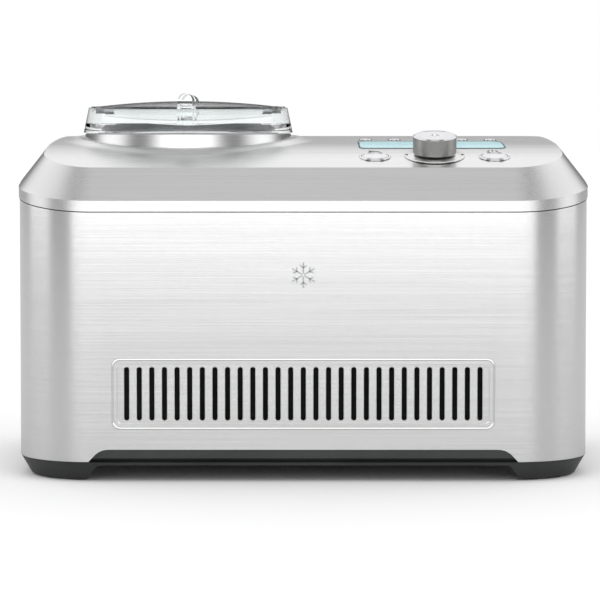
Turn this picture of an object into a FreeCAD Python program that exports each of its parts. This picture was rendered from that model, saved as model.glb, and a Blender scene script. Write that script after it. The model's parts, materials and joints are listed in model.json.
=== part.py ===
"""Ice cream maker with its own compressor, in millimetres.

Origin: centre of the footprint, on the surface that the pads stand on. +Z up, front face towards -Y.
"""

import FreeCAD, Part
import Sketcher
import math
import os

from FreeCAD import Matrix, Placement, Rotation, Vector

doc = FreeCAD.newDocument("ice_cream_maker")

# ---------------------------------------------------------------- driving dimensions

SHEET_ROWS = [
    # casing
    ("cover_width", 405.0),
    ("cover_depth", 275.0),
    ("corner_radius", 55.0),
    ("chamfer_inset", 18.0),
    ("chamfer_fall", 22.8),
    ("cover_lip", 7.4),
    ("cover_gauge", 2.0),
    ("lip_gauge", 0.6),
    ("ridge_front_level", 218.2),
    ("deck_front_angle", 18.52),
    ("deck_break_angle", 3.776),
    ("deck_break_depth", 100.0),
    ("wrap_step", 0.7),
    ("wrap_gauge", 1.6),
    ("wrap_bottom", 13.9),
    ("arch_level", 22.5),
    ("arch_half", 135.5),
    ("arch_radius", 13.4),
    ("arch_lean", 50.0),
    ("foot_length", 53.1),
    ("grille_width", 265.4),
    ("grille_bottom", 37.0),
    ("grille_top", 85.6),
    ("grille_border", 3.4),
    ("grille_depth", 1.5),
    ("slot_width", 3.6),
    ("slot_pitch", 8.76),
    ("slot_bottom", 42.6),
    ("slot_top", 80.2),
    ("rear_opening_half", 128.0),
    ("rear_opening_bottom", 32.0),
    ("rear_opening_top", 192.0),
    ("rear_flange", 8.0),
    ("rear_plate_gauge", 1.5),
    ("screw_head_radius", 3.2),
    ("screw_slot_half", 2.0),
    ("screw_slot_width", 0.8),
    ("gland_across", -95.0),
    ("gland_level", 48.0),
    ("tray_bottom", 11.3),
    ("tray_bevel", 5.0),
    ("tray_floor", 15.0),
    ("tray_top", 30.0),
    ("tray_wall", 3.0),
    ("foot_taper", 7.2),
    ("foot_bottom", 1.2),
    ("pad_radius", 13.0),
    ("pad_recess", 2.0),
    ("pad_place_across", 169.0),
    ("pad_place_along", 104.0),
    # bowl, well and drive, on one vertical axis
    ("bowl_axis", -85.5),
    ("collar_radius", 76.5),
    ("collar_inner", 69.0),
    ("collar_level", 241.9),
    ("bead_radius", 88.0),
    ("bead_height", 2.2),
    ("well_radius", 68.2),
    ("well_gauge", 1.6),
    ("well_floor", 62.4),
    ("well_flange", 73.5),
    ("well_top", 235.5),
    ("coil_tube_radius", 3.0),
    ("coil_radius", 71.5),
    ("coil_pitch", 14.0),
    ("coil_bottom", 72.0),
    ("foam_inner", 75.0),
    ("foam_radius", 92.0),
    ("foam_bottom", 56.0),
    ("foam_top", 210.0),
    ("bowl_radius", 64.9),
    ("bowl_gauge", 1.2),
    ("bowl_bottom", 68.0),
    ("bowl_top", 230.0),
    ("column_radius", 9.2),
    ("column_bore", 8.0),
    ("column_top", 100.0),
    ("bail_level", 232.4),
    ("bail_radius", 62.6),
    ("bail_wire", 1.5),
    ("bail_eye_place", 60.9),
    ("bail_eye_width", 2.5),
    ("bail_eye_radius", 3.1),
    ("pivot_length", 3.5),
    ("pivot_post_gauge", 1.6),
    ("spindle_radius", 6.0),
    ("running_gap", 0.05),
    ("spindle_top", 112.0),
    ("hub_radius", 13.0),
    ("hub_top", 120.0),
    ("paddle_reach", 59.5),
    ("paddle_top", 200.0),
    # lid
    ("lid_base_radius", 77.7),
    ("lid_rim_radius", 73.9),
    ("lid_bottom", 242.4),
    ("lid_rim_level", 260.8),
    ("lid_wall", 2.3),
    ("lid_skirt_radius", 65.2),
    ("lid_dish_depth", 4.6),
    ("lid_seal_radius", 68.7),
    ("lid_seal_drop", 6.0),
    ("port_radius", 56.0),
    ("dome_level", 265.7),
    ("dome_radius", 550.7),
    ("flap_radius", 71.2),
    ("hinge_level", 258.6),
    ("hinge_half", 62.0),
    ("hinge_gap", 0.4),
    ("fin_width", 10.7),
    ("fin_level", 270.9),
    ("fin_front", -54.5),
    ("fin_back", 64.0),
    # control deck
    ("panel_centre", 93.0),
    ("panel_row", 42.0),
    ("dial_row", 45.0),
    ("button_row", 140.0),
    ("button_reach", 42.2),
    ("button_radius", 9.6),
    ("bezel_radius", 11.2),
    ("small_radius", 4.4),
    ("small_inner_reach", 25.0),
    ("small_outer_reach", 46.5),
    ("display_width", 105.5),
    ("display_front", 70.0),
    ("display_back", 120.0),
    ("display_corner", 5.0),
    ("dial_radius", 15.5),
    ("dial_ring_radius", 21.5),
    ("dial_height", 15.2),
    ("shaft_radius", 3.0),
    ("board_level", 203.0),
    ("board_gauge", 1.6),
    # belt drive
    ("motor_across", 35.0),
    ("motor_along", -92.0),
    ("motor_radius", 28.0),
    ("motor_pulley_radius", 11.0),
    ("drive_pulley_radius", 36.0),
    ("belt_gauge", 1.6),
    ("belt_bottom", 38.0),
    ("belt_top", 46.0),
    ("bracket_bottom", 51.0),
    ("bracket_top", 55.0),
    # refrigeration
    ("compressor_across", 122.0),
    ("compressor_along", -40.0),
    ("compressor_radius", 50.0),
    ("compressor_bottom", 34.0),
    ("compressor_top", 150.0),
    ("condenser_left", 36.0),
    ("condenser_right", 186.0),
    ("condenser_front", 58.0),
    ("condenser_back", 86.0),
    ("condenser_bottom", 24.0),
    ("condenser_top", 146.0),
    ("fan_across", 111.0),
    ("fan_level", 86.0),
    ("fan_radius", 47.0),
    ("pipe_radius", 3.2),
    ("compressor_crown", 26.0),
    ("compressor_edge", 12.0),
    ("grommet_radius", 8.0),
    ("condenser_fin_gauge", 1.0),
    ("condenser_tube_radius", 3.4),
    ("condenser_row_pitch", 23.0),
    ("shroud_gauge", 2.0),
    ("shroud_depth", 24.0),
    ("shroud_disc_radius", 18.0),
    ("fan_motor_radius", 17.0),
    ("fan_hub_radius", 15.0),
    ("fan_blade_length", 33.0),
    ("fan_blade_chord", 14.0),
    ("drier_radius", 9.0),
    ("power_board_front", 117.0),
    ("standoff_radius", 3.0),
]


class Dim:
    """A number together with the sheet formula that it comes from."""

    def __init__(self, value, formula=None):
        self.value = float(value)
        self.formula = formula or repr(float(value))

    def join(self, other, sign, value, swap=False):
        first, second = (other, self) if swap else (self, other)
        return Dim(value, "(%s %s %s)" % (first.formula, sign, second.formula))

    def __add__(self, other):
        other = dim(other)
        return self.join(other, "+", self.value + other.value)

    def __radd__(self, other):
        other = dim(other)
        return self.join(other, "+", other.value + self.value, swap=True)

    def __sub__(self, other):
        other = dim(other)
        return self.join(other, "-", self.value - other.value)

    def __rsub__(self, other):
        other = dim(other)
        return self.join(other, "-", other.value - self.value, swap=True)

    def __mul__(self, other):
        other = dim(other)
        return self.join(other, "*", self.value * other.value)

    def __rmul__(self, other):
        other = dim(other)
        return self.join(other, "*", other.value * self.value, swap=True)

    def __truediv__(self, other):
        other = dim(other)
        return self.join(other, "/", self.value / other.value)

    def __neg__(self):
        return Dim(-self.value, "(-1 * %s)" % self.formula)

    def __float__(self):
        return self.value


def dim(number):
    return number if isinstance(number, Dim) else Dim(number)


sheet = doc.addObject("Spreadsheet::Sheet", "Sheet")
for row, (alias, number) in enumerate(SHEET_ROWS, start=1):
    sheet.set("A%d" % row, alias)
    sheet.set("B%d" % row, str(number))
    sheet.setAlias("B%d" % row, alias)
doc.recompute()


class Sizes:
    """Every cell of the sheet, by its alias."""

    def __init__(self):
        for alias, _ in SHEET_ROWS:
            setattr(self, alias, Dim(sheet.get(alias), "Sheet." + alias))


size = Sizes()
pieces = []


def piece(item, label):
    """Names a finished sub-part; its label is also its file's name."""
    item.Label = label
    pieces.append(item)
    return item


def bind(item, prop, value):
    value = dim(value)
    if "Sheet." in value.formula:
        item.setExpression(prop, value.formula)
    return value.value


def set_size(item, prop, value):
    setattr(item, prop, bind(item, prop, value))


def set_place(item, at, turn=Rotation()):
    """Places a primitive; its position stays tied to the sheet."""
    item.Placement = Placement(Vector(*[float(c) for c in at]), turn)
    for letter, value in zip("xyz", at):
        bind(item, "Placement.Base." + letter, value)


# ---------------------------------------------------------------- primitives and booleans


def box(name, low, high):
    item = doc.addObject("Part::Box", name)
    for prop, first, last in zip(("Length", "Width", "Height"), low, high):
        set_size(item, prop, dim(last) - first)
    set_place(item, low)
    return item


TURNS = {"X": Rotation(Vector(0, 1, 0), 90), "Y": Rotation(Vector(1, 0, 0), -90), "Z": Rotation()}


def rod(name, radius, start, length, axis="Z"):
    item = doc.addObject("Part::Cylinder", name)
    set_size(item, "Radius", radius)
    set_size(item, "Height", length)
    set_place(item, start, TURNS[axis])
    return item


def cut(name, base, *tools):
    item = doc.addObject("Part::Cut", name)
    item.Base = base
    item.Tool = tools[0] if len(tools) == 1 else fuse(name + "_tools", *tools)
    return item


def fuse(name, *parts):
    item = doc.addObject("Part::MultiFuse", name)
    item.Shapes = list(parts)
    return item


def common(name, *parts):
    item = doc.addObject("Part::MultiCommon", name)
    item.Shapes = list(parts)
    return item


def group(name, parts):
    """Identical separate solids that share one name."""
    item = doc.addObject("Part::Compound", name)
    item.Links = list(parts)
    return item


def formed(name, shape):
    """A shape that no sketch or primitive makes."""
    item = doc.addObject("Part::Feature", name)
    item.Shape = shape
    return item


class Arc:
    """In an outline, the next stretch is an arc; turn is +1 for anticlockwise, -1 for clockwise."""

    def __init__(self, radius, turn):
        self.radius = dim(radius)
        self.turn = turn


def arc_centre(first, last, radius, turn):
    middle = (first + last) * 0.5
    chord = last - first
    height = math.sqrt(max(radius ** 2 - (chord.Length / 2) ** 2, 0.0))
    side = Vector(-chord.y, chord.x, 0).normalize()
    return middle + side * (height * turn)


def draw_outline(sketch, items):
    """Draws a closed outline of points and arcs, every point fixed by the sheet."""
    points = [item for item in items if not isinstance(item, Arc)]
    arcs = {}
    count = 0
    for item in items:
        if isinstance(item, Arc):
            arcs[count - 1] = item
        else:
            count += 1
    ends = []
    for index, point in enumerate(points):
        first = Vector(float(point[0]), float(point[1]), 0)
        following = points[(index + 1) % len(points)]
        last = Vector(float(following[0]), float(following[1]), 0)
        if index not in arcs:
            number = sketch.addGeometry(Part.LineSegment(first, last), False)
            ends.append((number, 1, 2))
            continue
        radius, turn = arcs[index].radius, arcs[index].turn
        centre = arc_centre(first, last, float(radius), turn)
        begin, finish = (first, last) if turn > 0 else (last, first)
        angles = [math.atan2(p.y - centre.y, p.x - centre.x) for p in (begin, finish)]
        circle = Part.Circle(centre, Vector(0, 0, 1), float(radius))
        number = sketch.addGeometry(Part.ArcOfCircle(circle, *angles), False)
        ends.append((number, 1, 2) if turn > 0 else (number, 2, 1))
        spot = sketch.addConstraint(Sketcher.Constraint("Radius", number, float(radius)))
        bind(sketch, "Constraints[%d]" % spot, radius)
    for index, point in enumerate(points):
        number, start, _ = ends[index]
        before, _, end = ends[index - 1]
        sketch.addConstraint(Sketcher.Constraint("Coincident", before, end, number, start))
        for kind, axis, value in (("DistanceX", -2, dim(point[0])), ("DistanceY", -1, dim(point[1]))):
            if value.value == 0:
                sketch.addConstraint(Sketcher.Constraint("PointOnObject", number, start, axis))
                continue
            rule = Sketcher.Constraint(kind, -1, 1, number, start, value.value)
            spot = sketch.addConstraint(rule)
            bind(sketch, "Constraints[%d]" % spot, value)


def new_body(name, plane, outlines, offset):
    """A body with one sketch, on one of the body's own origin planes."""
    body = doc.addObject("PartDesign::Body", name)
    sketch = body.newObject("Sketcher::SketchObject", name + "_sketch")
    datum = [f for f in body.Origin.OriginFeatures if f.Role == plane + "_Plane"][0]
    sketch.AttachmentSupport = [(datum, "")]
    sketch.MapMode = "FlatFace"
    sketch.AttachmentOffset = Placement(Vector(0, 0, float(offset)), Rotation())
    bind(sketch, "AttachmentOffset.Base.z", offset)
    for outline in outlines:
        draw_outline(sketch, outline)
    return body, sketch


def prism(name, plane, outlines, start, end):
    """Pads outlines from start to end, measured along the axis square to the plane."""
    offset = -dim(end) if plane == "XZ" else dim(start)
    body, sketch = new_body(name, plane, outlines, offset)
    pad = body.newObject("PartDesign::Pad", name + "_pad")
    pad.Profile = sketch
    set_size(pad, "Length", dim(end) - start)
    body.Tip = pad
    return body


def row_of(name, body, direction, pitch, count):
    """Repeats a padded body along one axis of its own sketch."""
    pad = body.Tip
    body.AllowCompound = True
    row = body.newObject("PartDesign::LinearPattern", name)
    row.Originals = [pad]
    row.Direction = (pad.Profile[0], [direction])
    row.Occurrences = count
    set_size(row, "Length", pitch * (count - 1))
    body.Tip = row
    return body


def turned(name, outline, at=(0, 0, 0), turn=Rotation()):
    """Spins an outline of (radius, height) points about its own upright axis."""
    body, sketch = new_body(name, "XZ", [outline], 0)
    spin = body.newObject("PartDesign::Revolution", name + "_spin")
    spin.Profile = sketch
    spin.ReferenceAxis = (sketch, ["V_Axis"])
    spin.Angle = 360
    body.Tip = spin
    set_place(body, at, turn)
    return body


def rounded(half_x, half_y, radius, centre=(0, 0)):
    """A rectangle with round corners, anticlockwise."""
    cx, cy = dim(centre[0]), dim(centre[1])
    flat_x, flat_y = dim(half_x) - radius, dim(half_y) - radius
    corner = Arc(radius, 1)
    return [
        (cx - flat_x, cy - half_y), (cx + flat_x, cy - half_y), corner,
        (cx + half_x, cy - flat_y), (cx + half_x, cy + flat_y), corner,
        (cx + flat_x, cy + half_y), (cx - flat_x, cy + half_y), corner,
        (cx - half_x, cy + flat_y), (cx - half_x, cy - flat_y), corner,
    ]


def rectangle(x0, x1, y0, y1):
    return [(x0, y0), (x1, y0), (x1, y1), (x0, y1)]


# ---------------------------------------------------------------- the deck's curve

HALF_WIDTH = size.cover_width / 2
HALF_DEPTH = size.cover_depth / 2
RIDGE_X = HALF_WIDTH - size.chamfer_inset
RIDGE_Y = HALF_DEPTH - size.chamfer_inset
RIDGE_RADIUS = size.corner_radius - size.chamfer_inset
FRONT_SINE = math.sin(math.radians(float(size.deck_front_angle)))
FRONT_COSINE = math.cos(math.radians(float(size.deck_front_angle)))
BREAK_SINE = math.sin(math.radians(float(size.deck_break_angle)))
BREAK_COSINE = math.cos(math.radians(float(size.deck_break_angle)))
BREAK_Y = float(size.deck_break_depth - HALF_DEPTH)
FRONT_ARC_RADIUS = (BREAK_Y + float(RIDGE_Y)) / (FRONT_SINE - BREAK_SINE)
BREAK_LEVEL = float(size.ridge_front_level) + FRONT_ARC_RADIUS * (BREAK_COSINE - FRONT_COSINE)
REAR_ARC_RADIUS = (float(RIDGE_Y) - BREAK_Y) / BREAK_SINE


def deck_sine(y):
    """Sine of the deck's slope: a tight arc in front, a flat one behind."""
    if y < BREAK_Y:
        return BREAK_SINE + (BREAK_Y - y) / FRONT_ARC_RADIUS
    return BREAK_SINE - (y - BREAK_Y) / REAR_ARC_RADIUS


def deck_level(y):
    cosine = math.sqrt(1 - deck_sine(y) ** 2)
    radius = FRONT_ARC_RADIUS if y < BREAK_Y else REAR_ARC_RADIUS
    return BREAK_LEVEL + radius * (cosine - BREAK_COSINE)


def deck_frame(x, depth):
    """Placement on the deck at a depth behind the front face, its Z square to the deck."""
    y = float(depth) - float(HALF_DEPTH)
    tilt = math.degrees(math.asin(deck_sine(y)))
    return Placement(Vector(float(x), y, deck_level(y)), Rotation(Vector(1, 0, 0), tilt))


def deck_wire_points(y0, y1, rise):
    return [Vector(0, y, deck_level(y) + rise) for y in (y0, (y0 + y1) / 2, y1)]


def deck_slab(low, high, half_x, overrun=2.0, bottom=None):
    """The solid between two copies of the deck's curve, or down to a flat bottom."""
    front, back = -float(RIDGE_Y) - overrun, float(RIDGE_Y) + overrun
    upper = [Part.Arc(*deck_wire_points(front, BREAK_Y, high)).toShape(),
             Part.Arc(*deck_wire_points(BREAK_Y, back, high)).toShape()]
    if bottom is None:
        lower = [Part.Arc(*deck_wire_points(front, BREAK_Y, low)).toShape(),
                 Part.Arc(*deck_wire_points(BREAK_Y, back, low)).toShape()]
        left, right = deck_level(front) + low, deck_level(back) + low
    else:
        lower = [Part.makeLine(Vector(0, front, bottom), Vector(0, back, bottom))]
        left, right = bottom, bottom
    ends = [Part.makeLine(Vector(0, front, left), Vector(0, front, deck_level(front) + high)),
            Part.makeLine(Vector(0, back, right), Vector(0, back, deck_level(back) + high))]
    wire = Part.Wire(Part.__sortEdges__(upper + lower + ends))
    face = Part.Face(wire)
    face.translate(Vector(-half_x, 0, 0))
    return face.extrude(Vector(2 * half_x, 0, 0))


def rounded_block(half_x, half_y, radius, bottom, top, centre=(0.0, 0.0)):
    """A solid with a rounded rectangular plan."""
    block = Part.makeBox(2 * half_x, 2 * half_y, top - bottom,
                         Vector(centre[0] - half_x, centre[1] - half_y, bottom))
    upright = [e for e in block.Edges if abs(e.tangentAt(e.FirstParameter).z) > 0.99]
    return block.makeFillet(radius, upright)


# ---------------------------------------------------------------- casing


def cover_skin(drop, inset, run, fall, bottom_fall):
    """Deck, chamfer and lip of the cover as faces, with the edges of the lip's bottom."""
    half_x, half_y = float(RIDGE_X) - inset, float(RIDGE_Y) - inset
    radius = float(RIDGE_RADIUS) - inset
    corner_x, corner_y = half_x - radius, half_y - radius
    cap = deck_slab(0, -drop, half_x + 5, bottom=150.0)
    cap = cap.common(rounded_block(half_x, half_y, radius, 140.0, 300.0))
    deck = [f for f in cap.Faces if f.CenterOfMass.z > 200 and f.BoundBox.YLength > 60
            and f.BoundBox.XLength > 2 * corner_x]
    rim = []
    for index, face in enumerate(deck):
        others = [e for other in deck[:index] + deck[index + 1:] for e in other.Edges]
        rim += [e for e in face.Edges if not any(e.isSame(o) for o in others)]
    scale = (radius + run) / radius
    faces, bottom = list(deck), []
    for edge in rim:
        middle = edge.valueAt((edge.FirstParameter + edge.LastParameter) / 2)
        side_x = math.copysign(1, middle.x) * (abs(middle.x) > corner_x + 0.1)
        side_y = math.copysign(1, middle.y) * (abs(middle.y) > corner_y + 0.1)
        if side_x and side_y:
            cx, cy = side_x * corner_x, side_y * corner_y
            spread = Matrix(scale, 0, 0, cx * (1 - scale), 0, scale, 0, cy * (1 - scale), 0, 0, 1, -fall)
            lower = edge.transformGeometry(spread)
        else:
            lower = edge.translated(Vector(side_x * run, side_y * run, -fall))
        last = lower.translated(Vector(0, 0, fall + drop - bottom_fall))
        faces += [Part.makeRuledSurface(edge, lower), Part.makeRuledSurface(lower, last)]
        bottom.append(last)
    return faces, bottom


def cover_shell():
    """The outer and inner skins of the cover, joined along the lip."""
    run, fall = float(size.chamfer_inset), float(size.chamfer_fall)
    gauge, lip_gauge = float(size.cover_gauge), float(size.lip_gauge)
    slant = math.hypot(run, fall)
    inset = gauge * (slant - run) / fall
    inner_run = run + inset - lip_gauge
    inner_fall = inner_run * fall / run
    bottom_fall = fall + float(size.cover_lip)
    outer_faces, outer_edges = cover_skin(0.0, 0.0, run, fall, bottom_fall)
    inner_faces, inner_edges = cover_skin(gauge, inset, inner_run, inner_fall, bottom_fall)
    rims = []
    for edge in outer_edges:
        near = min(inner_edges, key=lambda e: (e.CenterOfMass - edge.CenterOfMass).Length)
        rims.append(Part.makeRuledSurface(edge, near))
    shell = Part.makeShell(outer_faces + inner_faces + rims)
    shell.sewShape()
    solid = Part.makeSolid(shell)
    if solid.Volume < 0:
        solid.reverse()
    return solid


def on_deck(shape, x, depth):
    shape.Placement = deck_frame(x, depth)
    return shape


def make_top_cover():
    openings = [Part.makeCylinder(float(size.collar_radius) - 2.5, 300, Vector(float(size.bowl_axis), 0, 0))]
    centre = float(size.panel_centre)
    reach = float(size.button_reach)
    for x in (centre - reach, centre + reach):
        hole = Part.makeCylinder(float(size.button_radius) + 0.4, 40, Vector(0, 0, -20))
        openings.append(on_deck(hole, x, size.panel_row))
    hole = Part.makeCylinder(float(size.shaft_radius) + 4.2, 40, Vector(0, 0, -20))
    openings.append(on_deck(hole, centre, size.dial_row))
    for x in small_button_places():
        hole = Part.makeCylinder(float(size.small_radius) + 0.3, 40, Vector(0, 0, -20))
        openings.append(on_deck(hole, x, size.button_row))
    openings.append(display_block(0.3, 150.0, 300.0))
    base = formed("cover_blank", cover_shell())
    tools = [formed("cover_opening_%d" % n, shape) for n, shape in enumerate(openings)]
    piece(cut("top_cover_cut", base, *tools), "top_cover")


def small_button_places():
    centre = float(size.panel_centre)
    inner, outer = float(size.small_inner_reach), float(size.small_outer_reach)
    return [centre - outer, centre - inner, centre + inner, centre + outer]


def display_block(growth, bottom, top):
    front, back = float(size.display_front), float(size.display_back)
    middle = (front + back) / 2 - float(HALF_DEPTH)
    return rounded_block(float(size.display_width) / 2 + growth, (back - front) / 2 + growth,
                         float(size.display_corner) + growth, bottom, top,
                         (float(size.panel_centre), middle))


def seam_cutter(below_ridge):
    """Everything above a copy of the cover's ridge, carried out to the walls."""
    scale = float(RIDGE_RADIUS) / float(size.corner_radius)
    corner = float(HALF_DEPTH - size.corner_radius)
    half = float(HALF_DEPTH)
    steps = 12

    def level(y):
        ridge_y = y if abs(y) < corner else math.copysign(corner + (abs(y) - corner) * scale, y)
        return deck_level(ridge_y) - below_ridge

    places = [-half + 2 * half * n / (2.0 * steps) for n in range(2 * steps + 1)]
    curve = Part.BSplineCurve()
    curve.interpolate([Vector(0, y, level(y)) for y in places])
    top = 260.0
    edges = [curve.toShape(),
             Part.makeLine(Vector(0, half, level(half)), Vector(0, half, top)),
             Part.makeLine(Vector(0, half, top), Vector(0, -half, top)),
             Part.makeLine(Vector(0, -half, top), Vector(0, -half, level(-half)))]
    face = Part.Face(Part.Wire(edges))
    reach = float(HALF_WIDTH) + 5
    face.translate(Vector(-reach, 0, 0))
    return face.extrude(Vector(2 * reach, 0, 0))


def arch_outline(half, foot_half):
    """The raised lower edge between two feet: a ramp and a round shoulder at each end."""
    radius = size.arch_radius
    lean = math.radians(float(size.arch_lean))
    shoulder = half + radius * math.sin(lean)
    shoulder_level = size.arch_level - radius * (1 - math.cos(lean))
    low, top = size.wrap_bottom, size.arch_level
    below = low - 5
    return [
        (-foot_half, below), (foot_half, below), (foot_half, low), (shoulder, shoulder_level),
        Arc(radius, 1), (half, top), (-half, top),
        Arc(radius, 1), (-shoulder, shoulder_level), (-foot_half, low),
    ]


WRAP_X = HALF_WIDTH - size.wrap_step
WRAP_Y = HALF_DEPTH - size.wrap_step
WRAP_RADIUS = size.corner_radius - size.wrap_step
ARCH_FOOT_X = HALF_WIDTH - size.foot_length
ARCH_FOOT_Y = HALF_DEPTH - size.foot_length


def make_body_wrap():
    gauge = size.wrap_gauge
    wall = prism("wrap_wall", "XY", [rounded(WRAP_X, WRAP_Y, WRAP_RADIUS),
                                     rounded(WRAP_X - gauge, WRAP_Y - gauge, WRAP_RADIUS - gauge)],
                 size.wrap_bottom, 220)
    seam = formed("wrap_seam_cutter", seam_cutter(26.0))
    side_half = ARCH_FOOT_Y - (ARCH_FOOT_X - size.arch_half)
    arch_x = prism("wrap_arch_front", "XZ", [arch_outline(size.arch_half, ARCH_FOOT_X)], -150, 150)
    arch_y = prism("wrap_arch_side", "YZ", [arch_outline(side_half, ARCH_FOOT_Y)], -210, 210)
    rear = prism("wrap_rear_opening", "XZ",
                 [rectangle(-size.rear_opening_half, size.rear_opening_half,
                            size.rear_opening_bottom, size.rear_opening_top)], 120, 150)
    half = size.grille_width / 2
    border = size.grille_border
    middle = (size.grille_bottom + size.grille_top) / 2
    high = (size.grille_top - size.grille_bottom) / 2
    inner = -WRAP_Y + gauge
    pressed = prism("grille_pressing", "XZ", [rounded(half, high, 5.6, (0, middle))],
                    -WRAP_Y + gauge / 2, inner + size.grille_depth)
    recess = prism("grille_recess", "XZ", [rounded(half - border, high - border, 3.6, (0, middle))],
                   -150, -WRAP_Y + size.grille_depth)
    solid = fuse("wrap_solid", cut("wrap_trimmed", wall, seam, arch_x, arch_y, rear), pressed)
    slot_half = size.slot_width / 2
    count = 29
    first = -(count - 1) / 2 * size.slot_pitch
    low_end, high_end = size.slot_bottom + slot_half, size.slot_top - slot_half
    end_arc = Arc(slot_half * 1.01, 1)
    slot_tool = row_of("grille_slots", prism("grille_slot", "XZ", [[
        (first - slot_half, low_end), end_arc, (first + slot_half, low_end),
        (first + slot_half, high_end), end_arc, (first - slot_half, high_end)]], -150, -125),
        "H_Axis", size.slot_pitch, count)
    piece(cut("body_wrap_cut", solid, recess, slot_tool), "body_wrap")
    filter_front = inner + size.grille_depth + 0.1
    filter_half, filter_high = half - 2, high - 1
    sheet_filter = box("air_filter_box", (-filter_half, filter_front, middle - filter_high),
                       (filter_half, filter_front + 2.5, middle + filter_high))
    piece(sheet_filter, "air_filter")


def rear_screw_places():
    across = float(size.rear_opening_half) - 8
    low, high = float(size.rear_opening_bottom) + 8, float(size.rear_opening_top) - 8
    return [(x, z) for x in (-across, 0.0, across) for z in (low, high)]


def make_rear_panel():
    half, low, high = size.rear_opening_half, size.rear_opening_bottom, size.rear_opening_top
    flange = size.rear_flange
    inner = WRAP_Y - size.wrap_gauge
    plate = size.rear_plate_gauge
    back = prism("rear_flange_plate", "XZ",
                 [rectangle(-half - flange, half + flange, low - 1, high + flange)], inner - plate, inner)
    front = prism("rear_face_plate", "XZ", [rectangle(-half + 0.3, half - 0.3, low + 0.3, high - 0.3)],
                  inner - plate, WRAP_Y)
    vent_tools = []
    for number, (start, end, level, height, pitch, count) in enumerate((
            (34.0, 76.0, 50.0, 3.6, 8.5, 9), (82.0, 122.0, 50.0, 3.6, 8.5, 9),
            (-100.0, -30.0, 150.0, 3.0, 7.0, 5))):
        slot = prism("vent_slot_%d" % number, "XZ", [rectangle(start, end, level, level + height)], 120, 150)
        vent_tools.append(row_of("vent_row_%d" % number, slot, "V_Axis", pitch, count))
    gland_hole = rod("gland_hole", 9.0, (size.gland_across, 120, size.gland_level), 30, "Y")
    holes = []
    for number, (x, z) in enumerate(rear_screw_places()):
        holes.append(rod("rear_hole_%d" % number, 1.6, (x, 120, z), 30, "Y"))
        holes.append(rod("rear_seat_%d" % number, 3.4, (x, WRAP_Y - 0.6, z), 10, "Y"))
    piece(cut("rear_panel_cut", fuse("rear_panel_solid", back, front), *vent_tools, gland_hole, *holes),
          "rear_panel")
    screws = []
    reach, half_slot = size.screw_slot_half, size.screw_slot_width / 2
    for number, (x, z) in enumerate(rear_screw_places()):
        head = rod("screw_head_%d" % number, size.screw_head_radius, (x, WRAP_Y - 0.6, z), 1.2, "Y")
        shank = rod("screw_shank_%d" % number, 1.5, (x, WRAP_Y - 9, z), 9, "Y")
        slot_low, slot_high = WRAP_Y + 0.1, WRAP_Y + 2
        slot_a = box("screw_slot_%da" % number, (x - reach, slot_low, z - half_slot),
                     (x + reach, slot_high, z + half_slot))
        slot_b = box("screw_slot_%db" % number, (x - half_slot, slot_low, z - reach),
                     (x + half_slot, slot_high, z + reach))
        solid = fuse("screw_solid_%d" % number, head, shank)
        screws.append(cut("screw_%d" % number, solid, slot_a, slot_b))
    piece(group("rear_screw_group", screws), "rear_screws")
    collar = turned("gland_turned", [(4.2, -8), (10.5, -8), (10.5, -3.3), (8.9, -3.3), (8.9, 0), (12.5, 0),
                                     (12.5, 0.7), (4.2, 0.7)],
                    (size.gland_across, WRAP_Y, size.gland_level), TURNS["Y"])
    piece(collar, "cord_gland")


def foot_channel(name, plane, foot_half, reach):
    """The space between two feet, narrower at its top."""
    bottom_half = dim(foot_half) + 3.2
    top_half = dim(foot_half) - 6.0
    outline = [(-bottom_half, -1), (bottom_half, -1), (top_half, size.tray_bottom),
               (-top_half, size.tray_bottom)]
    return prism(name, plane, [outline], -dim(reach), reach)


def make_base():
    gap = 0.1
    half_x, half_y = WRAP_X - size.wrap_gauge - gap, WRAP_Y - size.wrap_gauge - gap
    radius = WRAP_RADIUS - size.wrap_gauge - gap
    bevel = size.tray_bevel
    skirt = prism("tray_skirt", "XY", [rounded(half_x, half_y, radius)],
                  size.tray_bottom + bevel, size.tray_top)
    lower = formed("tray_bevel_block", tapered_block(float(half_x), float(half_y), float(radius),
                   float(bevel), float(size.tray_bottom), float(size.tray_bottom + bevel)))
    wall = size.tray_wall
    hollow = prism("tray_hollow", "XY", [rounded(half_x - wall, half_y - wall, radius - wall)],
                   size.tray_floor, 60)
    feet = formed("feet_block", tapered_block(float(WRAP_X) - 0.2, float(WRAP_Y) - 0.2,
                  float(WRAP_RADIUS) - 0.2, float(size.foot_taper), float(size.foot_bottom),
                  float(size.wrap_bottom) - 0.3))
    channel_x = foot_channel("foot_channel_front", "XZ", ARCH_FOOT_X, 150)
    channel_y = foot_channel("foot_channel_side", "YZ", ARCH_FOOT_Y, 210)
    recesses, pads = [], []
    for number, (sx, sy) in enumerate([(-1, -1), (1, -1), (1, 1), (-1, 1)]):
        x, y = sx * size.pad_place_across, sy * size.pad_place_along
        recesses.append(rod("pad_recess_%d" % number, size.pad_radius + 0.1, (x, y, -1),
                            size.foot_bottom + size.pad_recess + 1))
        pads.append(rod("pad_%d" % number, size.pad_radius, (x, y, 0), size.foot_bottom + size.pad_recess))
    feet_cut = cut("feet_cut", feet, channel_x, channel_y, *recesses)
    tray = cut("tray_cut", fuse("tray_solid", skirt, lower), hollow)
    piece(fuse("base_tray_fuse", tray, feet_cut), "base_tray")
    piece(group("foot_pad_group", pads), "foot_pads")


def tapered_block(half_x, half_y, radius, taper, bottom, top):
    """A rounded block that narrows towards its bottom."""
    wires = []
    for inset, level in ((taper, bottom), (0.0, top)):
        block = rounded_block(half_x - inset, half_y - inset, radius - inset, level, level + 1)
        face = [f for f in block.Faces if abs(f.CenterOfMass.z - level) < 1e-6][0]
        wires.append(face.OuterWire)
    return Part.makeLoft(wires, True, True)


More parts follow.
